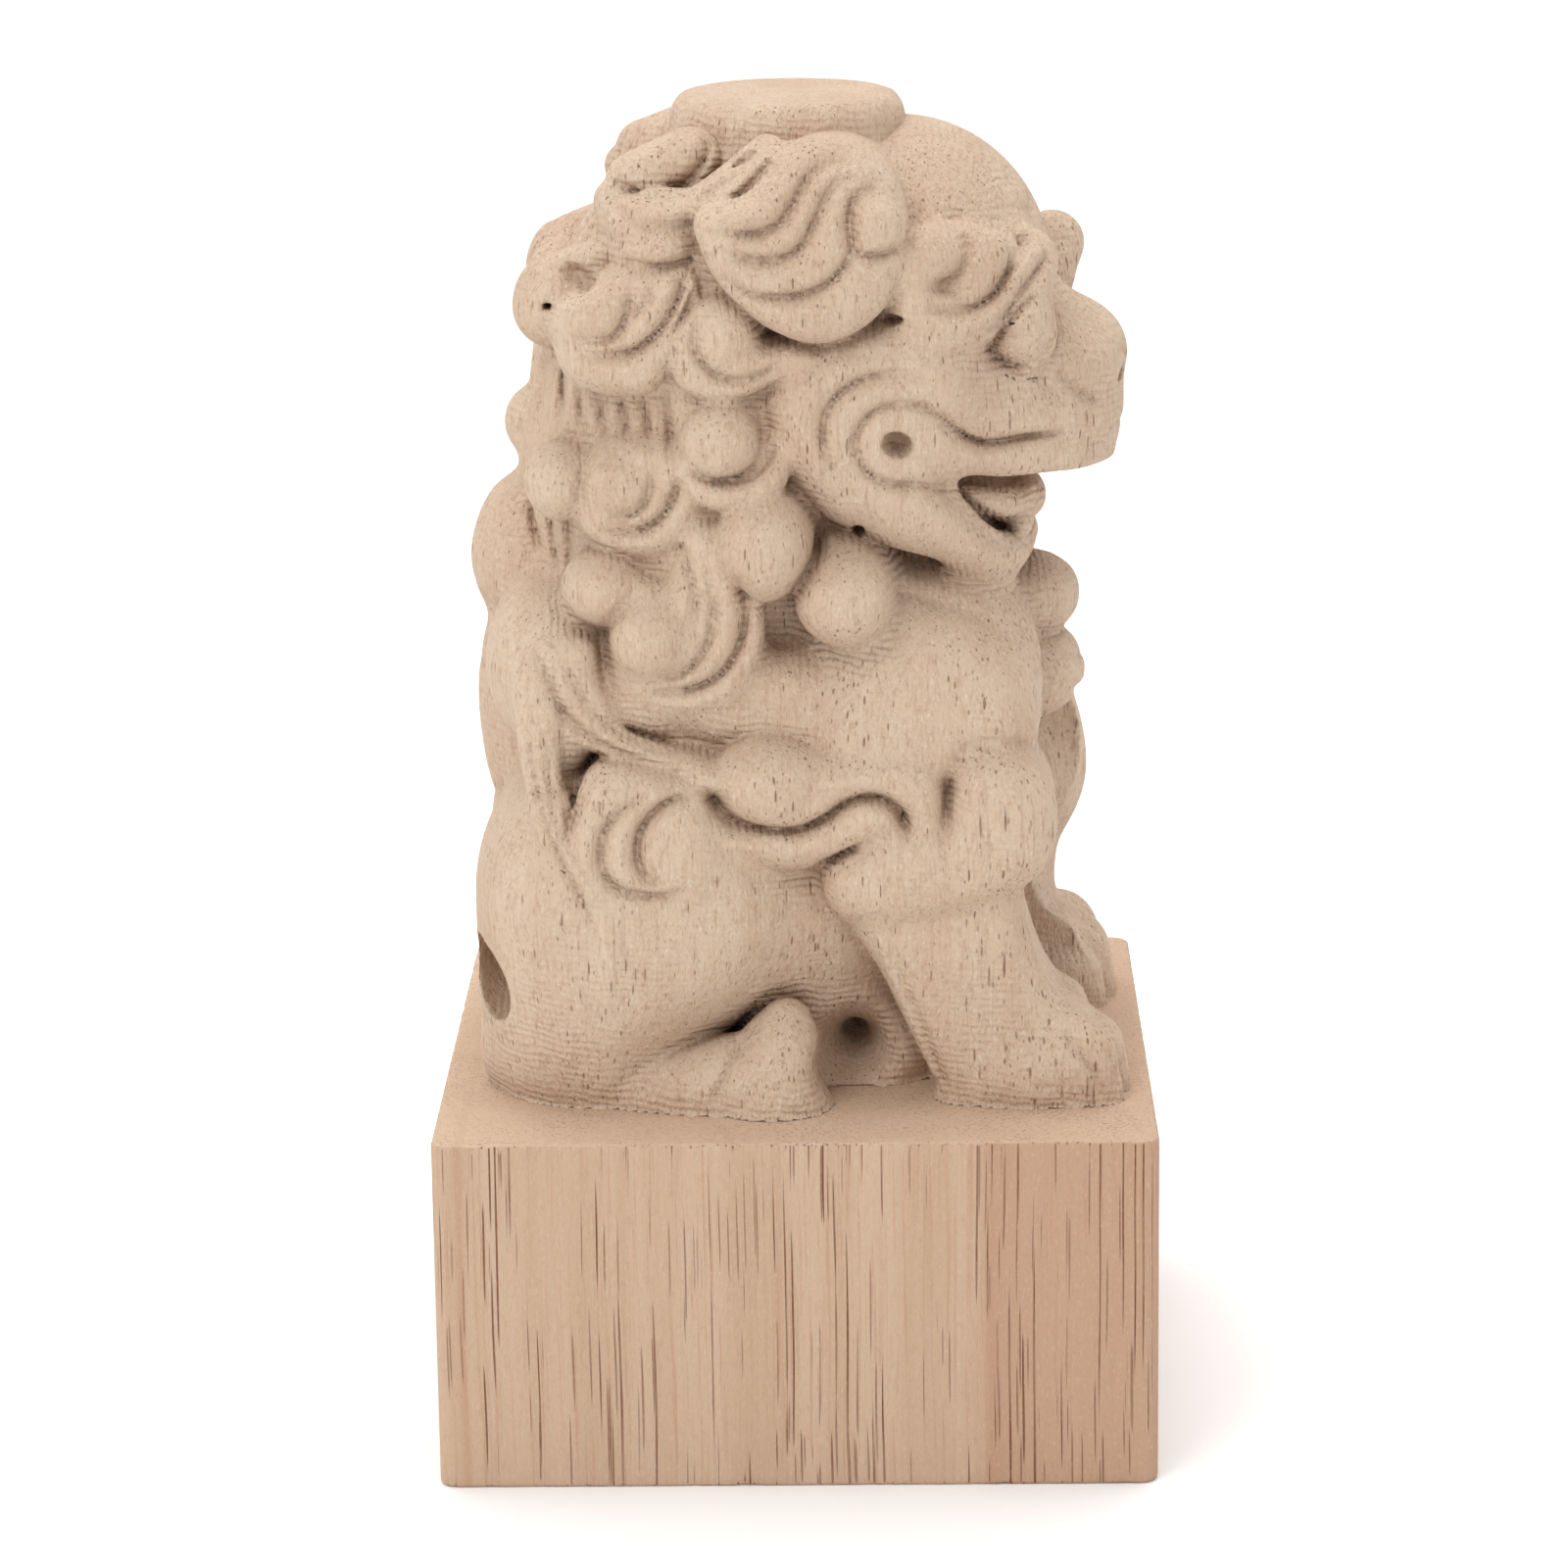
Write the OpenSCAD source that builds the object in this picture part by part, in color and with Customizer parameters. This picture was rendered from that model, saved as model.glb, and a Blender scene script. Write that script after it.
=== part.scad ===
// Guardian lion finial carved from one block of wood, sitting on a square plinth.
// +X is the way the lion looks, +Z is up, and the origin is the middle of the plinth's underside.
// The block is divided into its carved forms, which meet face to face.

/* [Plinth] */
// Side of the square plinth
plinth_w = 80; // [70:1:120]
// Height of the plinth
plinth_h = 40; // [20:1:80]
// Rounding of the plinth's upright edges
corner_r = 2; // [1:0.5:6]

/* [Figure] */
// Height of the lion from the plinth to the top of the head pad
figure_h = 110; // [80:1:110]

/* [Head pad] */
// Diameter of the round pad on the head
pad_d = 26.4; // [22:0.2:28]
// Rounding of the pad's upper rim
pad_rim_r = 2.4; // [1:0.1:4]

/* [Hidden] */

// Height for which the figure's own numbers are given
drawn_h = 110;
// Height of the pad, from inside the crown to its flat top
pad_h = 16;
// Facets round a large form, a small form and the exact round pad
fn_large = 20;
fn_small = 12;
fn_round = 64;
plinth_wood = "#cda98a";
carved_wood = "#e0c6aa";
pad_wood = "#d8b698";

// ---- shared helpers; a form's numbers are [x, outward y, z above the plinth, radius] ----

module ball(b, fn = fn_small) {
    translate([b[0], b[1], b[2]]) sphere(r = b[3], $fn = fn);
}

// Balls joined one after another into a rounded limb
module limb(balls, fn = fn_small) {
    for (i = [0 : len(balls) - 2])
        hull() {
            ball(balls[i], fn);
            ball(balls[i + 1], fn);
        }
}

// Balls wrapped together in one rounded lump
module lump(balls, fn = fn_small) {
    hull() for (b = balls) ball(b, fn);
}

module figure() {
    translate([0, 0, plinth_h]) scale(figure_h / drawn_h) children();
}

// The near side is -Y, the far side is +Y
module on_side(side) {
    color(carved_wood) figure() mirror([0, side == "near" ? 1 : 0, 0]) children();
}

module in_middle() {
    color(carved_wood) figure() children();
}

// Everything outward of the middle plane and above the plinth
module one_side() {
    translate([-60, 0, 0]) cube([120, 60, 120]);
}

module above_plinth() {
    translate([-60, -60, 0]) cube([120, 120, 120]);
}

module both_sides() {
    children();
    mirror([0, 1, 0]) children();
}

// ---- the forms before their neighbours are taken away ----

module pad_form() {
    pad_r = pad_d / 2;
    translate([0, 0, drawn_h - pad_h])
        rotate_extrude($fn = fn_round) {
            square([pad_r, pad_h - pad_rim_r]);
            square([pad_r - pad_rim_r, pad_h]);
            translate([pad_r - pad_rim_r, pad_h - pad_rim_r]) circle(r = pad_rim_r, $fn = 32);
        }
}

module torso_form() {
    lump([[10, 0, 42, 16], [2, 0, 24, 15], [-10, 0, 46, 18], [-14, 0, 26, 18]], fn_large);
    lump([[8, 0, 4, 10], [-14, 0, 6, 14], [-8, 0, 24, 15], [4, 0, 24, 13]], fn_large);
}

module mane_form() {
    lump([[-9, 0, 54, 21.6], [-9.6, 0, 74, 21.6], [-7, 0, 84, 20]], fn_large);
}

module skull_form() {
    lump([[13, 0, 90, 17.5], [-3, 0, 87, 19], [6, 0, 72, 20], [18, 0, 74, 13]], fn_large);
}

// The muzzle with the upper lip that runs back to the corners of the mouth
module muzzle_form() {
    lump([[31.4, 5.5, 80.8, 5.6], [31.4, -5.5, 80.8, 5.6], [30.8, 5, 74, 6.2], [30.8, -5, 74, 6.2],
        [20, 0, 78, 13]], 16);
    both_sides()
        limb([[17.5, 19, 73, 2.8], [26, 14.4, 71.2, 2.8], [31.6, 6, 69.4, 2.8], [32.4, 0, 68.8, 2.8]]);
}

// The chin with the lower lip that runs back under the jowls
module jaw_form() {
    lump([[25.4, 4, 61, 4], [25.4, -4, 61, 4], [15, 0, 62, 10]], 16);
    both_sides()
        limb([[14, 19.6, 65.4, 3.6], [20.5, 16.4, 61.8, 3.2], [24.6, 8, 60.2, 3], [25.4, 2, 60.4, 3]]);
}

module tail_form() {
    limb([[-30, 0, 60, 8], [-30, 0, 50, 7.5], [-29, 0, 40, 8.5], [-28, 0, 26, 7.5]], 16);
    limb([[-27, 0, 52, 6], [-28, 9, 36, 6], [-26, 6, 26, 6]], fn_small);
    limb([[-27, 0, 52, 6], [-28, -9, 36, 6], [-26, -6, 26, 6]], fn_small);
}

module beard_form() {
    limb([[20, 0, 56, 8], [27, 0, 52.4, 5]]);
}

module chest_lock_form() {
    limb([[20, 0, 45, 10], [27.6, 0, 44.4, 5.6], [26, 0, 39, 5]]);
}

module haunch_form() {
    lump([[-18, 15, 21, 17], [-17, 16.6, 14, 15], [-12.4, 18, 27, 14], [-26.5, 17, 6, 8]], fn_large);
}

module hind_foot_form() {
    limb([[-25, 20.5, 2, 4.6], [-18, 24, 2, 5.2], [-10, 25.6, 2.4, 5.6], [-2.6, 25.4, 2.6, 7]]);
    limb([[-2.6, 25.4, 2.6, 7], [-1.4, 25, 9.4, 3.2]]);
}

module haunch_curl_form() {
    limb([[-22, 24, 33, 4.6], [-20, 28, 27, 4.6], [-12, 30, 25.5, 4.2]]);
    limb([[-20, 25, 37, 4.4], [-12, 28, 32.5, 5.6]]);
}

module haunch_flame_form() {
    limb([[-28, 15, 52, 7.5], [-27.6, 20, 42, 5], [-25, 26.4, 30, 4], [-20.6, 30.6, 17, 3]]);
    limb([[-27, 17, 51, 6.5], [-22, 24, 42.6, 4], [-14, 26, 39.4, 3.2], [-8, 27.4, 38, 3]]);
}

module shoulder_form() {
    lump([[8, 15.4, 44, 11.5], [17.6, 15, 44, 10.6], [12, 13, 53.6, 8]], 16);
    lump([[-8, 17, 44, 7.6], [4, 16, 44, 9]], 16);
}

// The far foreleg and brow stand a little further forward than the near ones
function ahead(side) = side == "far" ? 1 : 0;

module foreleg_form(side) {
    far = ahead(side);
    lump([[11, 20.6, 27, 8.6], [21.4 + 3.8 * far, 21, 31.6, 8.2]], 16);
    lump([[14, 20.8, 26, 8], [22.6 + 2 * far, 20.6, 27, 7], [20, 20.6, 3, 7.6],
        [24.6 + far, 20.6, 3, 7.6]], 16);
}

module forepaw_form() {
    limb([[23, 21, 3.4, 7], [30.4, 24, 3.8, 5.8]]);
    limb([[24, 18.6, 3.4, 7], [32, 17.6, 3.2, 5], [31.4, 12.6, 2.6, 4.4]]);
}

module elbow_cloud_form() {
    limb([[-3, 25.4, 37.4, 5.2], [4, 26, 35, 4.4], [10, 26, 37.4, 4.2], [14.6, 26, 35.4, 4]]);
    limb([[-6, 24.8, 31.6, 3.4], [2, 25.4, 31.4, 3.8], [10, 25.6, 33.6, 3.6]]);
    lump([[-3, 22, 36, 4], [8, 22, 34, 4]]);
}

module jowl_form() {
    lump([[9, 16, 74, 11.5], [8, 15, 79, 9]], 16);
    limb([[12, 16, 70, 8.5], [22, 11, 68, 5.5], [28, 8, 65, 3.4]]);
}

module eye_form() {
    ball([25, 13.5, 85, 4.4]);
}

module brow_form(side) {
    far = ahead(side);
    limb([[15, 18.6, 94, 4.2], [14, 19.8, 90, 4], [18.4, 19, 88.4, 4], [23, 16.4, 89.2, 4.2],
        [25.6 + 3.4 * far, 12, 91.4 - 1.4 * far, 4.4], [25.8 + 3.4 * far, 9.4, 90 - 1.4 * far, 4]]);
}

module ear_form() {
    lump([[-8, 20.6, 96, 3], [2, 17.6, 99.6, 7.6], [8, 19, 96, 6.4], [5, 20.6, 91.4, 5.4],
        [-2, 20.5, 92, 4.6]], 14);
}

module crown_curl_form() {
    lump([[-13.5, 11, 104, 3.8], [-16, 8, 98, 7.4], [-10, 14, 95, 7.5]], 14);
}

module temple_lock_form() {
    lump([[-22, 21, 88.5, 3.6], [-17, 19, 86, 8], [-12, 21, 88, 5]], 14);
}

module back_curl_form() {
    limb([[-26.4, 12.6, 88.8, 4.4], [-20, 13, 93, 4.6]]);
}

module nape_nub_form() {
    limb([[-29, 0, 73, 4.2], [-26, 0, 78, 4.6]]);
}

module ear_curl_form() {
    limb([[-7, 21.4, 86.2, 5.2], [-2, 21.6, 82.4, 3.2], [2.6, 21.6, 82, 2.2]]);
}

module bun_form(b) {
    lump([b, [b[0] * 0.9, b[1] - 5, b[2], b[3]]], 14);
}

// Places and radii of the round buns of hair, from behind the cheek to the throat
cheek_bun = [-7.2, 22.6, 74, 5.8];
jaw_bun = [-3, 24.8, 63.6, 6];
throat_bun = [6, 24.4, 57.8, 5.4];
side_bun = [-25.2, 19.8, 69.8, 4.4];
nape_bun = [-20.4, 21.4, 58.6, 4.8];

module neck_swirl_form() {
    lump([[-18.8, 22, 70, 3.8], [-15.6, 18.6, 68.4, 7.2]], 14);
}

module shoulder_swirl_form() {
    limb([[-15.2, 24.2, 53.2, 4.8], [-8.4, 22.4, 51.4, 5.6], [-7, 21.4, 60, 5]]);
    lump([[-15.6, 20, 52.6, 5], [-9.4, 18, 57, 7.6]], 14);
}

// ---- the parts; each one gives way to the forms named inside it ----

module plinth() {
    inner_w = plinth_w - 2 * corner_r;
    color(plinth_wood) linear_extrude(plinth_h) {
        square([plinth_w, inner_w], center = true);
        square([inner_w, plinth_w], center = true);
        for (x = [-1, 1], y = [-1, 1])
            translate([x * inner_w / 2, y * inner_w / 2]) circle(r = corner_r, $fn = 32);
    }
}

module head_pad() {
    color(pad_wood) figure() pad_form();
}

module torso() {
    in_middle() intersection() {
        above_plinth();
        torso_form();
    }
}

module mane() {
    in_middle() difference() {
        mane_form();
        skull_form();
        torso_form();
        pad_form();
    }
}

module skull() {
    in_middle() difference() {
        skull_form();
        torso_form();
        pad_form();
    }
}

module muzzle() {
    in_middle() difference() {
        muzzle_form();
        skull_form();
        jaw_form();
    }
}

module lower_jaw() {
    in_middle() difference() {
        jaw_form();
        skull_form();
        torso_form();
        mane_form();
    }
}

module nape_nub() {
    in_middle() difference() {
        nape_nub_form();
        tail_form();
        skull_form();
        mane_form();
        torso_form();
    }
}

module tail() {
    in_middle() difference() {
        tail_form();
        torso_form();
        mane_form();
    }
}

module beard_lock() {
    in_middle() difference() {
        beard_form();
        jaw_form();
        skull_form();
        mane_form();
        torso_form();
    }
}

module chest_lock() {
    in_middle() difference() {
        chest_lock_form();
        beard_form();
        mane_form();
        torso_form();
    }
}

// Forms that every part on the sides gives way to
module cores() {
    torso_form();
    mane_form();
    skull_form();
    pad_form();
}

module side_part(side) {
    on_side(side) intersection() {
        one_side();
        children();
    }
}

module haunch(side) {
    side_part(side) difference() {
        haunch_form();
        cores();
        tail_form();
    }
}

module foreleg(side) {
    side_part(side) difference() {
        foreleg_form(side);
        cores();
    }
}

module forepaw(side) {
    side_part(side) difference() {
        forepaw_form();
        foreleg_form(side);
        cores();
    }
}

module hind_foot(side) {
    side_part(side) difference() {
        hind_foot_form();
        haunch_form();
        foreleg_form(side);
        cores();
    }
}

module shoulder(side) {
    side_part(side) difference() {
        shoulder_form();
        foreleg_form(side);
        chest_lock_form();
        beard_form();
        jaw_form();
        cores();
    }
}

module haunch_curl(side) {
    side_part(side) difference() {
        haunch_curl_form();
        haunch_form();
        cores();
    }
}

module haunch_flame(side) {
    side_part(side) difference() {
        haunch_flame_form();
        haunch_curl_form();
        haunch_form();
        tail_form();
        cores();
    }
}

module elbow_cloud(side) {
    side_part(side) difference() {
        elbow_cloud_form();
        shoulder_form();
        foreleg_form(side);
        haunch_form();
        haunch_curl_form();
        haunch_flame_form();
        cores();
    }
}

module jowl(side) {
    side_part(side) difference() {
        jowl_form();
        muzzle_form();
        jaw_form();
        cores();
    }
}

module eye(side) {
    side_part(side) difference() {
        eye_form();
        muzzle_form();
        cores();
    }
}

module brow(side) {
    side_part(side) difference() {
        brow_form(side);
        eye_form();
        muzzle_form();
        jowl_form();
        cores();
    }
}

module ear(side) {
    side_part(side) difference() {
        ear_form();
        brow_form(side);
        jowl_form();
        cores();
    }
}

module crown_curl(side) {
    side_part(side) difference() {
        crown_curl_form();
        ear_form();
        cores();
    }
}

module temple_lock(side) {
    side_part(side) difference() {
        temple_lock_form();
        crown_curl_form();
        ear_form();
        cores();
    }
}

module back_curl(side) {
    side_part(side) difference() {
        back_curl_form();
        temple_lock_form();
        crown_curl_form();
        cores();
    }
}

module ear_curl(side) {
    side_part(side) difference() {
        ear_curl_form();
        temple_lock_form();
        jowl_form();
        ear_form();
        cores();
    }
}

module cheek_bun_part(side) {
    side_part(side) difference() {
        bun_form(cheek_bun);
        ear_curl_form();
        jowl_form();
        cores();
    }
}

module jaw_bun_part(side) {
    side_part(side) difference() {
        bun_form(jaw_bun);
        bun_form(cheek_bun);
        jowl_form();
        shoulder_form();
        cores();
    }
}

module throat_bun_part(side) {
    side_part(side) difference() {
        bun_form(throat_bun);
        bun_form(jaw_bun);
        jowl_form();
        shoulder_form();
        cores();
    }
}

module neck_swirl(side) {
    side_part(side) difference() {
        neck_swirl_form();
        bun_form(cheek_bun);
        bun_form(jaw_bun);
        cores();
    }
}

module shoulder_swirl(side) {
    side_part(side) difference() {
        shoulder_swirl_form();
        neck_swirl_form();
        bun_form(jaw_bun);
        bun_form(throat_bun);
        shoulder_form();
        haunch_flame_form();
        cores();
    }
}

module side_bun_part(side) {
    side_part(side) difference() {
        bun_form(side_bun);
        neck_swirl_form();
        cores();
    }
}

module nape_bun_part(side) {
    side_part(side) difference() {
        bun_form(nape_bun);
        neck_swirl_form();
        shoulder_swirl_form();
        haunch_flame_form();
        cores();
    }
}

plinth();
head_pad();
torso();
tail();
mane();
skull();
muzzle();
lower_jaw();
beard_lock();
chest_lock();
nape_nub();
haunch("near");  // haunch_near
haunch("far");  // haunch_far
hind_foot("near");  // hind_foot_near
hind_foot("far");  // hind_foot_far
haunch_curl("near");  // haunch_curl_near
haunch_curl("far");  // haunch_curl_far
haunch_flame("near");  // haunch_flame_near
haunch_flame("far");  // haunch_flame_far
shoulder("near");  // shoulder_near
shoulder("far");  // shoulder_far
foreleg("near");  // foreleg_near
foreleg("far");  // foreleg_far
forepaw("near");  // forepaw_near
forepaw("far");  // forepaw_far
elbow_cloud("near");  // elbow_cloud_near
elbow_cloud("far");  // elbow_cloud_far
jowl("near");  // jowl_near
jowl("far");  // jowl_far
eye("near");  // eye_near
eye("far");  // eye_far
brow("near");  // brow_near
brow("far");  // brow_far
ear("near");  // ear_near
ear("far");  // ear_far
crown_curl("near");  // crown_curl_near
crown_curl("far");  // crown_curl_far
temple_lock("near");  // temple_lock_near
temple_lock("far");  // temple_lock_far
back_curl("near");  // back_curl_near
back_curl("far");  // back_curl_far
ear_curl("near");  // ear_curl_near
ear_curl("far");  // ear_curl_far
cheek_bun_part("near");  // cheek_bun_near
cheek_bun_part("far");  // cheek_bun_far
jaw_bun_part("near");  // jaw_bun_near
jaw_bun_part("far");  // jaw_bun_far
throat_bun_part("near");  // throat_bun_near
throat_bun_part("far");  // throat_bun_far
neck_swirl("near");  // neck_swirl_near
neck_swirl("far");  // neck_swirl_far
shoulder_swirl("near");  // shoulder_swirl_near
shoulder_swirl("far");  // shoulder_swirl_far
side_bun_part("near");  // side_bun_near
side_bun_part("far");  // side_bun_far
nape_bun_part("near");  // nape_bun_near
nape_bun_part("far");  // nape_bun_far
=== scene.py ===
import bpy
import numpy as np
from math import radians, sin, cos, pi
from mathutils import Matrix, Vector


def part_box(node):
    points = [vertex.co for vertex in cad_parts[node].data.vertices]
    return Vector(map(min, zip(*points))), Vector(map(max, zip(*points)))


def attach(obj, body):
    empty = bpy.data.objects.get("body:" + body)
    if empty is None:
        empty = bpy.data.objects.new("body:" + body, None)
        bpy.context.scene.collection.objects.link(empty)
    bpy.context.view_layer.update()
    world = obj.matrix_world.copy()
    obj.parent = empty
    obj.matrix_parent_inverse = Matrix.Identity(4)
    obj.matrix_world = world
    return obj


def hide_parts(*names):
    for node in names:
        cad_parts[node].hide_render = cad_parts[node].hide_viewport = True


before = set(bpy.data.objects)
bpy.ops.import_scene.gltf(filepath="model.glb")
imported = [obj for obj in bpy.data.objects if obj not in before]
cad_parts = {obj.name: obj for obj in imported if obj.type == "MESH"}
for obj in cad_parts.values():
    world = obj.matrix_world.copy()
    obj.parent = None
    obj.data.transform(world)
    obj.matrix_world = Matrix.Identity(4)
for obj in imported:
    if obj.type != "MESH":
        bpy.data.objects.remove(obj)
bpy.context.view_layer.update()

mm = 0.001
plinthLow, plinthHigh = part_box("plinth")
plinthTop = plinthHigh[2]

# the block: the lion's own numbers are in mm, x forward, y outward, z above the plinth
block = {
    "step": 0.4,            # size of one carved cell
    "quickStep": 0.8,
    "low": (-41.0, 0.0, -1.2),
    "high": (41.0, 37.6, 111.2),
}


def carveBlock(step):
    xs = np.arange(block["low"][0], block["high"][0], step, dtype=np.float32)
    ys = np.arange(step / 2, block["high"][1], step, dtype=np.float32)
    zs = np.arange(-1.5 * step, block["high"][2], step, dtype=np.float32)
    far = np.float32(9.0)
    shape = (len(xs), len(ys), len(zs))
    return {
        "step": step, "xs": xs, "ys": ys, "zs": zs,
        "field": np.full(shape, far, np.float32),
        "nearest": np.full(shape, far, np.float32),
        "owner": np.zeros(shape, np.int16),
        "names": [""],
    }


def window(work, low, high):
    cuts = []
    for axis, values in enumerate((work["xs"], work["ys"], work["zs"])):
        first = int(np.searchsorted(values, low[axis]))
        last = int(np.searchsorted(values, high[axis]))
        cuts.append(slice(first, max(last, first)))
    gx = work["xs"][cuts[0]][:, None, None]
    gy = work["ys"][cuts[1]][None, :, None]
    gz = work["zs"][cuts[2]][None, None, :]
    return tuple(cuts), gx, gy, gz


def blend(a, b, soft):
    if soft <= 0:
        return np.minimum(a, b)
    h = np.maximum(soft - np.abs(a - b), 0) / soft
    return np.minimum(a, b) - h * h * soft * 0.25


def addForm(work, piece, cuts, dist, soft, bias=0.0):
    if piece not in work["names"]:
        work["names"].append(piece)
    number = work["names"].index(piece)
    field = work["field"]
    field[cuts] = blend(field[cuts], dist, soft)
    near = work["nearest"][cuts]
    own = work["owner"][cuts]
    mine = dist - bias < near
    near[mine] = (dist - bias)[mine]
    own[mine] = number


def smoothPath(points, perSpan=6, closed=False):
    p = np.array(points, float)
    if len(p) < 3 and not closed:
        t = np.linspace(0, 1, perSpan + 1)[:, None]
        return p[0] * (1 - t) + p[1] * t
    if closed:
        q = np.vstack([p[-1], p, p[0], p[1]])
        spans = len(p)
    else:
        q = np.vstack([2 * p[0] - p[1], p, 2 * p[-1] - p[-2]])
        spans = len(p) - 1
    out = []
    for i in range(spans):
        a, b, c, d = q[i], q[i + 1], q[i + 2], q[i + 3]
        for k in range(perSpan):
            t = k / perSpan
            out.append(0.5 * (2 * b + (c - a) * t + (2 * a - 5 * b + 4 * c - d) * t * t
                              + (3 * b - a - 3 * c + d) * t ** 3))
    if not closed:
        out.append(q[-2])
    return np.array(out)


def ovalDist(gx, gy, gz, middle, radii, turn=(0, 0, 0)):
    x, y, z = gx - middle[0], gy - middle[1], gz - middle[2]
    ax, ay, az = (radians(a) for a in turn)
    x, y = x * cos(az) + y * sin(az), -x * sin(az) + y * cos(az)
    x, z = x * cos(ay) - z * sin(ay), x * sin(ay) + z * cos(ay)
    y, z = y * cos(ax) + z * sin(ax), -y * sin(ax) + z * cos(ax)
    a, b, c = radii
    k0 = np.sqrt((x / a) ** 2 + (y / b) ** 2 + (z / c) ** 2)
    k1 = np.sqrt((x / a ** 2) ** 2 + (y / b ** 2) ** 2 + (z / c ** 2) ** 2)
    return (k0 * (k0 - 1) / np.maximum(k1, 1e-6)).astype(np.float32)


def oval(work, piece, middle, radii, soft=1.5, bias=0.0):
    size = max(radii) + 5
    cuts, gx, gy, gz = window(work, np.array(middle) - size, np.array(middle) + size)
    addForm(work, piece, cuts, ovalDist(gx, gy, gz, middle, radii), soft, bias)


# several ovals of one piece: each is (middle, radii, soft, bias), the last two if wanted
def ovals(work, piece, *forms):
    for form in forms:
        oval(work, piece, *form)


# a hollow taken out by the cutter
def scoop(work, middle, radii, turn=(0, 0, 0), soft=0.3):
    size = max(radii) + soft + 1
    cuts, gx, gy, gz = window(work, np.array(middle) - size, np.array(middle) + size)
    field = work["field"]
    field[cuts] = -blend(-field[cuts], ovalDist(gx, gy, gz, middle, radii, turn), soft)


def ropeDist(gx, gy, gz, path):
    best = None
    for a, b in zip(path[:-1], path[1:]):
        d = b[:3] - a[:3]
        long = max(float(d @ d), 1e-9)
        t = np.clip(((gx - a[0]) * d[0] + (gy - a[1]) * d[1] + (gz - a[2]) * d[2]) / long, 0, 1)
        r = a[3] + (b[3] - a[3]) * t
        gap = np.sqrt((gx - a[0] - d[0] * t) ** 2 + (gy - a[1] - d[1] * t) ** 2
                      + (gz - a[2] - d[2] * t) ** 2) - r
        best = gap if best is None else np.minimum(best, gap)
    return best.astype(np.float32)


# a rounded limb or strand: points are (x, y, z, radius)
def rope(work, piece, points, soft=1.5):
    path = smoothPath(points, 4) if len(points) > 2 else np.array(points, float)
    thick = path[:, 3].max() + 4
    low, high = path[:, :3].min(0) - thick, path[:, :3].max(0) + thick
    cuts, gx, gy, gz = window(work, low, high)
    addForm(work, piece, cuts, ropeDist(gx, gy, gz, path), soft)


def outlineDist(px, pz, ring):
    best = np.full(np.broadcast(px, pz).shape, 1e9)
    inside = np.zeros(best.shape, bool)
    for a, b in zip(ring, np.roll(ring, -1, axis=0)):
        d = b - a
        long = max(float(d @ d), 1e-9)
        t = np.clip(((px - a[0]) * d[0] + (pz - a[1]) * d[1]) / long, 0, 1)
        best = np.minimum(best, (px - a[0] - d[0] * t) ** 2 + (pz - a[1] - d[1] * t) ** 2)
        crosses = (a[1] > pz) != (b[1] > pz)
        span = b[1] - a[1] if b[1] != a[1] else 1e-9
        inside ^= crosses & (px < a[0] + (pz - a[1]) / span * d[0])
    gap = np.sqrt(best)
    return np.where(inside, -gap, gap)


# a cushion of wood standing out of the side: its outline is seen from the side
def cushion(work, piece, outline, face, thick, edge, lean, crown, soft):
    ring = smoothPath(outline, 5, closed=True)
    middle = ring.mean(0)
    low = (ring[:, 0].min() - 5, face - thick - 8, ring[:, 1].min() - 5)
    high = (ring[:, 0].max() + 5, face + 8, ring[:, 1].max() + 5)
    cuts, gx, gy, gz = window(work, low, high)
    side = outlineDist(gx[:, 0, :], gz[:, 0, :], ring)[:, None, :].astype(np.float32)
    top = face + lean[0] * (gx - middle[0]) + lean[1] * (gz - middle[1])
    half = float(np.abs(side.min()))
    top = top - crown * (1 - np.clip(-side / half, 0, 1)) ** 2
    a = side + edge
    b = gy - top + edge
    c = top - thick - gy
    dist = np.minimum(np.maximum(a, b), 0) + np.sqrt(np.maximum(a, 0) ** 2 + np.maximum(b, 0) ** 2) - edge
    addForm(work, piece, cuts, np.maximum(dist, c).astype(np.float32), soft)


# an empty drawing of grooves, to be pressed into the wood from the side, the back or the front
def blankDrawing(first, second):
    return {"u": first, "v": second, "cut": np.zeros((len(first), len(second)), np.float32),
            "rise": np.zeros((len(first), len(second)), np.float32)}


def strokeGap(drawing, path, width):
    u, v = drawing["u"], drawing["v"]
    i0, i1 = np.searchsorted(u, path[:, 0].min() - width), np.searchsorted(u, path[:, 0].max() + width)
    j0, j1 = np.searchsorted(v, path[:, 1].min() - width), np.searchsorted(v, path[:, 1].max() + width)
    gu, gv = u[i0:i1, None], v[None, j0:j1]
    best = np.full((i1 - i0, j1 - j0), 1e9)
    along = np.zeros_like(best)
    count = len(path) - 1
    for k in range(count):
        a, d = path[k], path[k + 1] - path[k]
        t = np.clip(((gu - a[0]) * d[0] + (gv - a[1]) * d[1]) / max(float(d @ d), 1e-9), 0, 1)
        gap = (gu - a[0] - d[0] * t) ** 2 + (gv - a[1] - d[1] * t) ** 2
        closer = gap < best
        best = np.where(closer, gap, best)
        along = np.where(closer, (k + t) / count, along)
    return (slice(i0, i1), slice(j0, j1)), np.sqrt(best), along


def fadeEnds(along, ends):
    start = np.clip(along / ends[0], 0, 1) if ends[0] > 0 else 1.0
    stop = np.clip((1 - along) / ends[1], 0, 1) if ends[1] > 0 else 1.0
    return np.sqrt(start * stop)


# a crease between two rolls of hair: sharp at the bottom, rounding away over its width
def crease(drawing, points, width=1.8, depth=1.2, ends=(0.2, 0.2)):
    path = smoothPath(points, 6)
    cells, gap, along = strokeGap(drawing, path, width)
    near = np.clip(1 - gap / width, 0, 1)
    value = depth * (0.35 * near + 0.65 * near ** 3) * fadeEnds(along, ends)
    drawing["cut"][cells] = np.maximum(drawing["cut"][cells], value)


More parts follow.
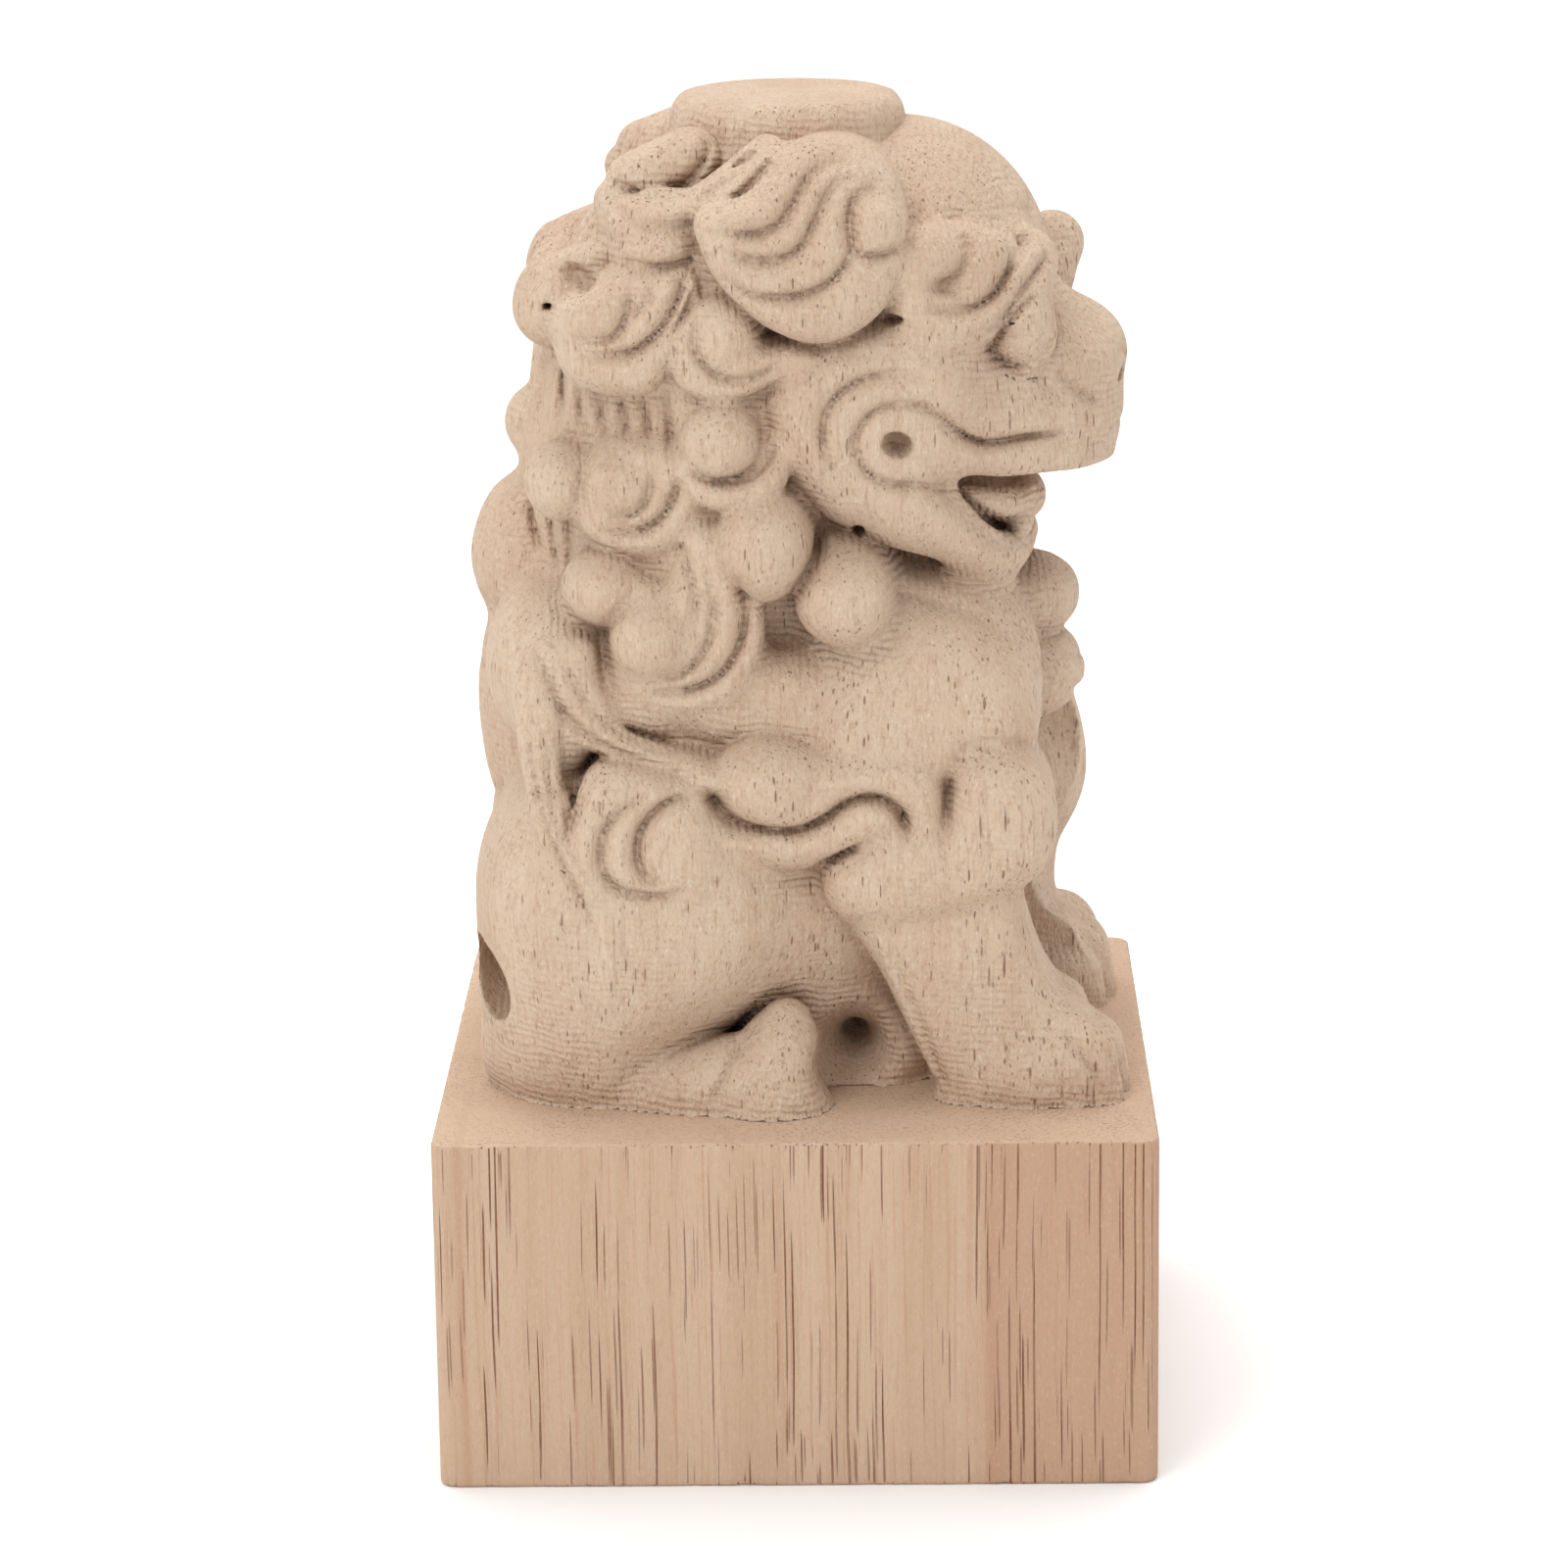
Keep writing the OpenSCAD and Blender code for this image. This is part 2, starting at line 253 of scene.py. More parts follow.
# a raised roll
def roll(drawing, points, width=2.0, height=0.8, ends=(0.2, 0.2)):
    path = smoothPath(points, 6)
    cells, gap, along = strokeGap(drawing, path, width)
    near = np.clip(1 - (gap / width) ** 2, 0, 1)
    value = height * near * fadeEnds(along, ends)
    drawing["rise"][cells] = np.maximum(drawing["rise"][cells], value)


# the lion's forms; far is 1 on the far side, where the brow and knee reach further forward
def shapeBody(work, far):
    ahead = 3.8 * far       # how much further forward the far knee stands
    ovals(work, "torso", ((8, 0, 44), (17, 19, 19), 3), ((0, 0, 20), (19, 14.5, 27), 4),
        ((1, 8, 22), (15, 15.5, 19), 4), ((-15, 0, 22), (17.5, 20, 24), 4), ((-15, 0, 47), (17, 21, 20), 4),
        ((6, 8, 3), (13, 13, 8), 6))
    # hollow under the belly
    scoop(work, (6.0, 25, 4.4), (3.0, 9, 2.4), soft=5.0)
    ovals(work, "tail", ((-29.4, 0, 57.6), (7.2, 11, 8.6), 1.6, 1), ((-28.6, 0, 62), (6.4, 9, 5.4), 1.6, 1),
        ((-29, 0, 41), (7.2, 11, 17), 1.6, 1), ((-28, 0, 22), (6.8, 9, 9), 1.5, 1))
    oval(work, "haunch", (-18.6, 14, 22), (16.6, 16, 19), 2.5)
    roundOutline = [(-18.4 + 16.4 * cos(a), 22.6 + 16.2 * sin(a)) for a in np.linspace(0, 2 * pi, 17)[:-1]]
    cushion(work, "haunch", roundOutline, face=30.8, thick=20, edge=8, lean=(0.0, 0.02), crown=1.6, soft=4)
    ovals(work, "haunch", ((-24.4, 14, 5.4), (10.2, 13.6, 9.4), 5), ((-22, 14.6, 12), (13, 14.6, 12), 5),
        ((-7, 11, 22), (12, 15.6, 15), 6))
    scoop(work, (-33.2, 19, 13.6), (2.7, 8, 5.2), (0, -14, 0), 0.5)
    rope(work, "haunch", [(-30.4, 15.6, 2.6, 4.6), (-27, 18.4, 2.2, 5.2), (-21, 20.4, 2.4, 6)], 4)
    rope(work, "hind_foot", [(-25, 19.6, 0.4, 4.2), (-18, 22.6, 0.8, 5), (-11, 24.4, 1.6, 5.6),
        (-5, 25.2, 2.6, 5.6)], 0.8)
    rope(work, "hind_foot", [(-2.6, 25.2, -1, 7.2), (-1.9, 25.0, 4.4, 5.6), (-1.0, 24.6, 9, 3.0)], 0.6)
    cushion(work, "haunch_curl", [(-24.8, 32), (-23.8, 36.2), (-21.4, 39.8), (-16, 39.6), (-11, 38),
        (-8.6, 34), (-7.6, 29), (-9.4, 25.2), (-14, 24), (-19, 24), (-22.6, 27)], face=31.8, thick=12,
        edge=3, lean=(-0.1, -0.04), crown=0.8, soft=2.0)
    oval(work, "haunch_flame", (-26.6, 12, 48.4), (7.8, 13.5, 10), 2, 0.5)
    cushion(work, "haunch_flame", [(-30, 50), (-30.2, 42), (-29, 36), (-27.4, 31.6), (-24, 31), (-25, 36),
        (-25.4, 42), (-24, 50)], face=28.8, thick=14, edge=2.0, lean=(0.14, -0.3), crown=0.4, soft=1.4)
    cushion(work, "haunch_flame", [(-28.6, 36), (-26.8, 30), (-24.4, 25), (-22.8, 20), (-21.4, 15.4),
        (-19.8, 14.4), (-19, 20), (-19.6, 27), (-22.4, 31), (-24.6, 36)], face=31.4, thick=14, edge=1.8,
        lean=(0.06, -0.03), crown=0.3, soft=1.6)
    cushion(work, "haunch_flame", [(-28, 52), (-28, 46.5), (-25.4, 42.6), (-21, 40), (-15, 38), (-9, 36.4),
        (-6, 38), (-10, 40.2), (-15, 41.8), (-18.6, 44), (-20.8, 48), (-22, 53)], face=27.6, thick=12,
        edge=2.2, lean=(0.12, -0.1), crown=0.5, soft=1.0)
    cushion(work, "shoulder", [(-14, 47), (-12, 42), (-6, 40), (3, 40), (5, 46), (3, 50), (-2, 51),
        (-8, 50)], face=24.9, thick=14, edge=4, lean=(0.0, -0.05), crown=0.4, soft=3)
    ovals(work, "shoulder", ((15, 11, 45), (12.4, 14, 12), 2.0), ((12, 9, 51.6), (13.6, 13.6, 8.4), 5))
    cushion(work, "shoulder", [(1, 42), (2.6, 48), (7, 53.6), (13, 55.6), (20, 54), (25.6, 50.6),
        (27.2, 45), (26.6, 39), (21, 36), (12, 35), (4, 36)], face=26.4, thick=12, edge=5.5,
        lean=(-0.05, -0.2), crown=1.0, soft=3)
    cushion(work, "foreleg", [(8, 24), (6.6, 20.6), (9.6, 15), (12.4, 9), (15.6, 2), (16.6, -3), (33, -3),
        (33, 8), (29.4, 11.6), (27.4, 15.4), (26, 20), (24.6, 25), (16, 26)], face=27.4, thick=15, edge=3.2,
        lean=(-0.04, 0.03), crown=0.6, soft=1.5)
    knee = [(17.8, 38), (20, 40.4), (24, 40.4), (27.2, 38.6), (29, 35), (29.2, 31), (28, 27.2),
        (25.2, 24.6), (21, 22.4), (15, 20.8), (9.4, 20.2), (5, 21.4), (3.2, 24.6), (3.6, 28), (7, 30.6),
        (11, 32.4), (15.4, 32.4)]
    cushion(work, "foreleg", [(x + ahead * (x > 14), z) for x, z in knee], face=29.8, thick=15, edge=4.0,
        lean=(0.0, 0.03), crown=1.2, soft=1.4)
    if far:
        oval(work, "foreleg", (25, 19, 27), (9, 9, 9.4), 3)
        rope(work, "foreleg", [(25, 20, 22, 6), (23.6, 20, 12, 6.5)], 3)
    oval(work, "forepaw", (26, 19.6, 3), (9.6, 9.4, 7.2), 2.0)
    for toeX, toeY, tall in ((31.4, 25, 6.6), (32.4, 20.6, 5.4), (32.4, 16.2, 4.2), (31, 12, 3.2)):
        oval(work, "forepaw", (toeX, toeY, 3.6), (4.7, 3.1, tall), 1.4)
        oval(work, "forepaw", (toeX + 2, toeY, 1.0), (3.2, 2.3, 3.8), 0.6)
    cushion(work, "elbow_cloud", [(-10, 33.8), (-7, 32.6), (-3, 33.2), (0.5, 33), (3.5, 34), (6.5, 36),
        (9.5, 36.2), (12, 34.4), (11.6, 31), (8.4, 30.4), (5, 28.8), (1, 27.4), (-3, 27.8), (-7, 29.8)],
        face=29.2, thick=10, edge=2.6, lean=(0.0, 0.06), crown=0.4, soft=1.8)
    cushion(work, "elbow_cloud", [(-8.6, 38), (-7.4, 40.6), (-4, 42.2), (0, 42), (3.8, 41), (8, 40.6),
        (12.5, 40.8), (15.6, 39.4), (16.8, 36), (16.4, 31.4), (14.4, 28.4), (12.8, 31), (12.4, 33.6),
        (9.6, 35.6), (6.5, 35.2), (3.5, 33.2), (0.5, 32), (-3, 32.4), (-6.6, 34.4)], face=29.2, thick=11,
        edge=3.0, lean=(0.0, -0.14), crown=0.4, soft=1.0)
    oval(work, "elbow_cloud", (-2.9, 26.2, 37.2), (4.7, 4.3, 4.5), 2.0)
    oval(work, "foreleg", (14.2, 24, 29), (5, 5.6, 4), 2.5)
    oval(work, "haunch_flame", (-24.6, 17.4, 42), (4.4, 8.4, 6), 1.5)
    oval(work, "torso", (-16, 15.6, 46), (9, 9.6, 7), 2)
    # cutter's pit under the belly
    scoop(work, (6.6, 25, 4.4), (4.0, 11.4, 3.4), soft=3.0)
    scoop(work, (6.6, 16, 4.2), (1.9, 10, 1.6), soft=2.5)


def shapeHead(work, far):
    ovals(work, "mane", ((-10, 0, 66), (21, 23.6, 26), 4), ((-9, 0, 82), (19.6, 23, 18), 4))
    ovals(work, "skull", ((12.2, 0, 89.6), (17.2, 18, 17.6), 4), ((-3, 0, 90), (18, 18, 16.6), 6),
        ((-6, 0, 91), (16, 21, 13), 4), ((11, 0, 78), (18.6, 19, 13), 6), ((19, 0, 80), (12.6, 18, 10), 6))
    # face
    ovals(work, "muzzle", ((29.6, 0, 79), (7.6, 12.4, 8), 3), ((32.4, 0, 80.8), (5.3, 10.4, 4.8), 2),
        ((31.8, 0, 74), (5.7, 10.6, 6.6), 2))
    rope(work, "muzzle", [(17, 18.2, 76.6, 2.6), (23, 15.4, 75.4, 2.9), (29, 11, 74.4, 3.1),
        (32, 5, 73, 3.2)], 3)
    rope(work, "muzzle", [(16, 20.2, 73.6, 2.4), (20, 18.4, 72.4, 2.3), (26, 14.4, 71.2, 2.4),
        (31, 10, 69.6, 2.5), (33.2, 4, 68.6, 2.8), (33.4, 0, 68.5, 2.8)], 2.0)
    oval(work, "lower_jaw", (16, 0, 62.6), (10.6, 13, 5.6), 2)
    rope(work, "lower_jaw", [(13, 20.6, 66.2, 3.6), (17, 19.2, 64.2, 3.2), (20.5, 16.6, 61.6, 2.8),
        (22.8, 12.8, 60.0, 2.5), (24.8, 7, 59.8, 2.3), (25.6, 0, 60, 2.3)], 2.0)
    cushion(work, "jowl", [(-2.4, 79), (-1.4, 73.6), (1.4, 68.6), (5.4, 65), (11, 63.2), (16, 62.6),
        (19, 64.6), (18, 69), (18.6, 74), (21, 79), (20, 84), (15, 87), (7, 87.4), (0.5, 85)], face=25.4,
        thick=12, edge=4.6, lean=(-0.14, 0.02), crown=1.6, soft=3.0)
    scoop(work, (29, 0, 67.8), (11, 20, 2.1), (0, 3, 0), 0.6)
    rope(work, "lower_jaw", [(19, 10.5, 65, 2.2), (24, 8.6, 64.4, 2.2), (26.2, 4, 64.2, 2.2),
        (26.6, 0, 64.2, 2.2)], 0.8)
    rope(work, "lower_jaw", [(19.5, 15.6, 66.7, 1.6), (23.6, 12.8, 65.8, 1.7), (25.8, 7.4, 65, 1.6),
        (26.6, 0, 64.4, 1.6)], 0.5)
    rope(work, "lower_jaw", [(25.4, 9.6, 62.6, 1.6), (26.6, 8.8, 66.4, 0.9)], 0.6)
    scoop(work, (27, 0, 68.7), (9.6, 19.8, 1.1), (0, 2, 0), 0.3)
    oval(work, "eye", (25.4, 14.2, 85), (4.2, 4.8, 4.4), 0.8, 0.5)
    nudge = 3.6 * far
    drop = 1.4 * far
    rope(work, "brow", [(15, 19.4, 94.4, 3.2), (13.6, 21, 91, 2.8), (15, 21.4, 88.6, 2.8),
        (18.4, 20.6, 87.4, 3.0), (22, 17.8, 88.4, 3.4), (24.8 + nudge, 14.2, 90.2 - drop, 3.8),
        (26.2 + nudge, 11, 92.4 - drop, 3.7)], 3.0)
    ovals(work, "brow", ((25.8 + nudge, 9.4, 89.6 - drop), (3.0, 4.4, 4), 1.4),
        ((16.4, 17, 94.2), (3.4, 4.6, 3.2), 2), ((19.4, 15.6, 92.6), (6.4, 5, 4.6), 2))
    # ear and crown
    cushion(work, "ear", [(-9.6, 99.6), (-9.4, 96.4), (-7.6, 92.8), (-4.6, 89.6), (-1, 87.2), (3, 86),
        (7, 86.8), (10.6, 89.4), (12.8, 93), (13.4, 97), (12.8, 101), (10.8, 104.6), (7.4, 106.8),
        (3.4, 107.2), (0, 105.8), (-4, 102.4)], face=25.6, thick=14, edge=3.4, lean=(-0.10, -0.34),
        crown=1.0, soft=1.0)
    oval(work, "ear", (9.9, 22.6, 98.2), (3.1, 2.6, 3.1), 0.8)
    ovals(work, "crown_curl", ((-14.4, 10.6, 97.6), (6.6, 11, 5), 1.5),
        ((-14, 11, 94.8), (6.4, 12, 4.2), 0.8))
    rope(work, "crown_curl", [(-18.8, 13.5, 100, 2.4), (-15, 16.4, 98.8, 2.6), (-10.4, 16.8, 99, 2.6),
        (-6, 15.6, 102, 2.4), (-2, 13.8, 105, 2.2)], 1.2)
    rope(work, "crown_curl", [(-16.4, 12.8, 101.8, 3.5), (-10.6, 11, 104.2, 3.5)], 0.6)
    rope(work, "crown_curl", [(-8, 18.6, 100.4, 2.0), (-4, 18, 102.6, 2.0), (0.6, 15.8, 104.6, 1.8)], 1.5)
    # locks and buns behind the face
    cushion(work, "temple_lock", [(-25.6, 88.4), (-25.8, 85.6), (-24, 81.6), (-19.6, 80), (-15, 80.4),
        (-12.6, 83), (-10.4, 87), (-9.4, 91.6), (-11, 94), (-15, 94.4), (-19, 93.6), (-23, 91)], face=24.6,
        thick=14, edge=3.2, lean=(0.25, -0.22), crown=1.0, soft=0.8)
    rope(work, "temple_lock", [(-22.8, 20.4, 88.2, 2.6), (-19.6, 21.6, 89.2, 2.8)], 1.6)
    oval(work, "back_curl", (-26.2, 12.5, 88.4), (4.2, 6.6, 4.6), 1.0)
    rope(work, "back_curl", [(-26, 13.6, 90.4, 3.6), (-22, 14.4, 93.2, 2.4), (-19, 15, 94.6, 1.8)], 1.0)
    cushion(work, "ear_curl", [(-12.8, 85.6), (-12.4, 82), (-9.6, 79.8), (-5.6, 79.6), (-1.4, 81.4),
        (3.6, 84), (1.6, 86), (-2.4, 85.6), (-3.6, 89), (-6.8, 91), (-10.6, 89.6)], face=25.4, thick=8,
        edge=2.2, lean=(-0.05, -0.08), crown=0.3, soft=0.8)
    oval(work, "ear_curl", (-6.6, 24.0, 86.6), (3.1, 2.4, 3.3), 0.8)
    rope(work, "cheek_bun", [(-7.2, 19, 76, 4.8), (-7.4, 23.3, 75, 4.5)], 1.6)
    rope(work, "cheek_bun", [(-11.2, 23.4, 71.4, 2.2), (-7, 24.6, 69.6, 2.2), (-2.8, 24.4, 70.6, 2.2),
        (-0.6, 23, 74.6, 1.8)], 1.0)
    rope(work, "jaw_bun", [(-2.6, 19, 65.6, 5.6), (-3, 25.2, 63.2, 5.0)], 1.0)
    oval(work, "jaw_bun", (-2.8, 23, 63.6), (5.2, 7.6, 6.4), 1.0)
    rope(work, "throat_bun", [(6.6, 16, 61, 4.4), (6.0, 24.6, 57.4, 4.9)], 1.0)
    oval(work, "throat_bun", (5.8, 23.6, 57.4), (5.2, 6.4, 4.8), 1.0)
    oval(work, "side_bun", (-25.2, 17.6, 69.8), (4.0, 6.4, 4.5), 1.0)
    ovals(work, "nape_bun", ((-20.4, 20.4, 58.4), (4.8, 5.8, 4.5), 1.0),
        ((-16.0, 21.4, 57.2), (3.0, 4.4, 3.0), 0.8))
    cushion(work, "neck_swirl", [(-23.2, 71), (-23.6, 66.6), (-21, 63), (-16, 61.6), (-11.6, 63.4),
        (-9.4, 67), (-9.8, 71.6), (-12.4, 75.4), (-16, 76), (-20.5, 74.6)], face=24.8, thick=12, edge=3.0,
        lean=(0.14, -0.02), crown=0.8, soft=1.0)
    oval(work, "neck_swirl", (-18.6, 22.4, 70), (3.5, 3.2, 3.5), 1.0)
    cushion(work, "shoulder_swirl", [(-20.2, 52), (-19, 48), (-15.6, 45.6), (-11, 45.2), (-6.6, 46.6),
        (-3.8, 50), (-2.8, 55), (-4, 60), (-7.5, 66), (-11.5, 66), (-13, 61), (-15, 58.6), (-18.4, 57.4)],
        face=26.8, thick=14, edge=3.0, lean=(0.08, -0.06), crown=0.8, soft=0.8)
    oval(work, "shoulder_swirl", (-15.2, 24.8, 53.2), (4.5, 4.2, 4.5), 1.0)
    oval(work, "nape_nub", (-28.6, 0, 73), (3.8, 4.4, 4.2), 1)
    # beard and chest
    rope(work, "beard_lock", [(18, 0, 53, 6.4), (24.6, 0, 52.6, 5.2)], 1)
    ovals(work, "beard_lock", ((27.4, 0, 53.6), (4.4, 6.4, 3.4), 1), ((27.2, 0, 51.6), (4.4, 6, 3.6), 4))
    oval(work, "chest_lock", (25, 0, 44), (8.2, 11, 6), 1)
    # drilled and deep-cut spots
    for middle, radii, turn in (((33.6, 4.6, 78), (4.4, 1.5, 1.1), (0, -14, 0)), ((11.9, 25.6, 74.7),
        (1.8, 3.9, 1.45), (0, 24, 0)), ((-26.2, 19, 89.2), (0.5, 4, 0.4), (0, 0, 0)), ((-23, 19, 92.4),
        (2.8, 3.4, 1.4), (0, 28, 0)), ((7.6, 21, 64.6), (0.7, 4, 0.9), (0, 0, 0)), ((11.6, 22, 88.0),
        (1.2, 2.4, 0.5), (0, -14, 0)), ((-1.6, 23, 86.6), (1.3, 4, 0.8), (0, -10, 0))):
        scoop(work, middle, radii, turn)


def shapeGround(work):
    cuts, gx, gy, gz = window(work, (-41, 0, -5), (41, 38, 5))
    field = work["field"][cuts]
    ground = np.broadcast_to(gz + 0.35, field.shape)
    work["field"][cuts] = blend(field, ground, 1.2)
    if "plinth" not in work["names"]:
        work["names"].append("plinth")
    below = np.broadcast_to(gz < 0, field.shape)
    work["owner"][cuts][below] = work["names"].index("plinth")


# creases seen from the side: points as (along, up), then width, depth and how soon the two ends fade
sideCreases = (
    # jowl: two rings round the drilled corner of the mouth, running into the lips
    ([(30.4, 73.8), (26, 73.8), (22, 73.6), (20, 74.2), (18.5, 75.4), (16.5, 77.4), (14.5, 78.8),
     (12, 79.2), (9.6, 78.6), (8, 77), (7.3, 75), (7.8, 72.8), (9, 71.4), (10.8, 70.4), (14, 70.0),
     (16.4, 69.2), (18.2, 67.8), (20.2, 65.6), (22.5, 63), (24.6, 61.6)], 1.3, 1.25, (0.05, 0.05)),
    ([(16, 82), (12, 82.5), (9.5, 82.2), (7.4, 81.6), (5.2, 80), (4, 77.8), (3.8, 75), (4.6, 72.6),
     (6, 71)], 1.7, 1.6, (0.3, 0.3)),
    ([(13, 70.2), (16.4, 69.2), (18.2, 67.8), (20.2, 65.6), (22.5, 63), (24.6, 61.2)], 1.7, 1.5,
     (0.2, 0.15)),
    ([(0, 81), (4, 84), (10, 84.6), (17, 83.6)], 1.6, 0.25, (0.4, 0.4)),
    ([(10.5, 57.4), (16, 56), (22, 53.4), (27.4, 49)], 2.6, 0.9, (0.3, 0.3)),
    ([(17.6, 38.6), (19.4, 41.2), (24, 41.4), (28.4, 39.4)], 2.0, 0.8, (0.2, 0.3)),
    # nose side
    ([(29.4, 81), (31.2, 78.6), (34.4, 76.2)], 1.2, 0.7),
    # ear
    ([(-8.4, 98.4), (-5, 97.8), (-2.2, 98), (-0.2, 99.2), (1.2, 101.4), (2.6, 103.6), (4.6, 104.8),
     (8, 104.9)], 1.99, 1.95, (0.2, 0.3)),
    ([(-6.2, 96.2), (-4.4, 95.4), (-2.2, 95.1), (0.2, 95.5), (2, 96.8), (3.2, 99), (4.3, 101.4), (5.6, 103),
     (8, 103.6)], 1.68, 1.69, (0.2, 0.3)),
    ([(-6.8, 93.4), (-4, 91.8), (-0.2, 91.3), (3, 91.9), (5.6, 93.5), (7, 95.8), (6.9, 98.4), (7.2, 100.8),
     (8.6, 102.2), (10.6, 101.8)], 1.37, 1.56, (0.2, 0.25)),
    ([(6.8, 96.4), (8.4, 95.5), (10.4, 95.4), (12.4, 96.2)], 1.16, 1.3, (0.1, 0.3)),
    ([(-9, 101), (-6, 103.2), (-3.2, 105.6)], 1.26, 1.04),
    ([(-6.6, 100.4), (-4, 102.2), (-1.4, 105)], 1.26, 1.04),
    # brow
    ([(15, 91.6), (17.2, 91.9), (19.2, 93.4), (19.7, 95.2), (18.6, 97), (16.6, 97.8)], 1.72, 1.12,
     (0.3, 0.3)),
    ([(14.6, 89.4), (17.6, 88.8), (20.4, 89), (22.6, 90.2), (24, 92.4), (25.4, 94.6), (28, 96)], 1.84, 1.76,
     (0.25, 0.4)),
    ([(20.4, 86.2), (23, 87.2), (25, 89.6), (27.4, 92.2), (28.6, 93.6)], 1.49, 1.28, (0.3, 0.3)),
    ([(22.2, 83.2), (23.2, 86), (25.6, 88.6), (27.2, 89.8)], 1.26, 1.12, (0.3, 0.3)),
    ([(21.6, 86), (22.4, 83.6), (24.4, 82), (27, 82.2), (28.8, 84.4), (29, 87.4)], 1.6, 1.1, (0.3, 0.3)),
    # crown
    ([(-18.4, 102.6), (-17.2, 101.6), (-15, 101.1), (-12.5, 101.3), (-10.4, 102.6), (-8.8, 104.6),
     (-8.4, 107.4)], 1.32, 1.3, (0.2, 0.2)),
    ([(-19, 101.4), (-17.4, 99.2), (-15, 98.2), (-11, 98), (-8.6, 98.8)], 1.43, 0.91, (0.3, 0.3)),
    ([(-17.6, 94.6), (-13.4, 94.2), (-10, 94.6)], 1.21, 1.17, (0.3, 0.1)),
    # temple lock
    ([(-23.4, 86.6), (-21, 86.3), (-19, 86.6), (-17.6, 88.2), (-17, 90.4), (-16.6, 92.4)], 1.32, 1.35,
     (0.3, 0.3)),
    ([(-14, 92.8), (-15.2, 90.4), (-17.2, 87.8)], 1.2, 1.05, (0.3, 0.3)),
    ([(-10.9, 93.4), (-11.8, 90.6), (-13.8, 87.4), (-16.4, 85.3), (-19.6, 84.7), (-23, 85)], 1.56, 1.95,
     (0.1, 0.4)),
    ([(-9.8, 92), (-11.2, 89), (-13, 86.4)], 1.32, 1.2, (0.3, 0.3)),
    # ear curl
    ([(-9, 89.4), (-10, 87), (-9.6, 84.6), (-8, 82.8), (-5, 82), (-2, 83), (0.5, 84.4)], 1.32, 1.35),
    # neck swirl
    ([(-11.9, 71.4), (-12.6, 68.8), (-14.3, 66.4), (-17, 65.2), (-21, 65)], 1.56, 1.8, (0.2, 0.35)),
    ([(-14.9, 72.4), (-15.2, 69.4), (-16.6, 67.4), (-19.6, 66.4)], 1.32, 1.2, (0.3, 0.3)),
    # cheek bun
    ([(-10.6, 72), (-8, 70.9), (-4.6, 71.3), (-2.4, 72.7), (-1.2, 75)], 1.32, 1.35, (0.3, 0.2)),
    # shoulder swirl
    ([(-15.4, 47.4), (-11.4, 47.8), (-8.4, 49), (-6.4, 51.2), (-5.2, 54.2), (-4.9, 57.4), (-5.8, 61.4)],
     1.8, 2.25, (0.25, 0.3)),
    ([(-14.4, 49.2), (-11.8, 49.8), (-9.8, 51.6), (-8.6, 54.4), (-8.3, 58), (-9.4, 63)], 1.56, 1.5,
     (0.3, 0.3)),
    ([(-10.8, 54.4), (-10.3, 57.6), (-11, 61), (-12, 64)], 1.44, 1.35, (0.3, 0.3)),
    # flames
    ([(-28.4, 52), (-26.6, 49), (-25.2, 45.6), (-22.4, 42.8), (-18.6, 41), (-13, 39.2), (-9, 37.8)], 1.43,
     1.32, (0.2, 0.4)),
    ([(-25.4, 52), (-23.6, 48.6), (-21.4, 45), (-17.4, 42.6), (-13, 41)], 1.43, 1.08, (0.3, 0.3)),
    ([(-29, 46), (-28.4, 40), (-27.2, 34.6), (-25, 29), (-22.4, 23.6), (-21, 18)], 1.32, 1.08, (0.2, 0.3)),
    ([(-26.8, 44), (-26.6, 38), (-25.4, 33), (-22.6, 28)], 1.32, 0.96, (0.3, 0.3)),
    # haunch curl
    ([(-10.6, 36.6), (-13.4, 36.2), (-15.6, 34.6), (-16.8, 32.4), (-17, 30), (-16, 27.8), (-14, 26.6)],
     1.89, 2.04, (0.15, 0.3)),
    ([(-14.6, 37.2), (-17.8, 36), (-20.2, 33.8), (-21, 31.2), (-20.6, 28.4), (-18.6, 26.4), (-15, 25.8),
     (-11, 26.2)], 1.89, 1.7, (0.3, 0.2)),
    ([(-20.6, 41), (-23, 38), (-24.4, 34.6), (-24.6, 31)], 2.03, 1.7, (0.2, 0.3)),
    # back edge of the foreleg
    ([(10.4, 20), (12.2, 14.4), (14.2, 9), (16.8, 2)], 0.9, 0.55, (0.2, 0.05)),
    # toes of the forepaw
    ([(29.4, 8.6), (31.4, 6.4), (33.2, 3.4), (33.8, 0.6)], 1.1, 0.8, (0.3, 0.2)),
    ([(34.6, 6.4), (35.4, 4), (35.6, 1.4)], 0.9, 0.6, (0.3, 0.2)),
    ([(24.6, 3.6), (28, 2.6), (31.6, 3.4)], 1.2, 0.35, (0.3, 0.3)),
    # toe of the hind foot
    ([(-9, 1.4), (-7.6, 5), (-5.6, 8.4), (-4, 10.4)], 1.2, 1.0, (0.1, 0.3)),
    # elbow cloud
    ([(-7, 34), (-4.6, 32.9), (-2, 32.4), (1, 32.4), (4, 33.8), (6.2, 35.2), (8.4, 35.8), (10.4, 35.2),
     (12.2, 33.4), (12.8, 31)], 1.17, 0.88, (0.15, 0.15)),
    ([(2.6, 40.6), (2.4, 37.4), (0.8, 34.4)], 0.99, 0.4, (0.3, 0.3)),
    ([(17.4, 39.4), (17.2, 35.6), (17, 32), (16, 29.6)], 0.99, 0.4, (0.15, 0.2)),
    ([(2.4, 28), (4.6, 29), (7.6, 30.6)], 0.9, 1.04, (0.3, 0.3)),
)

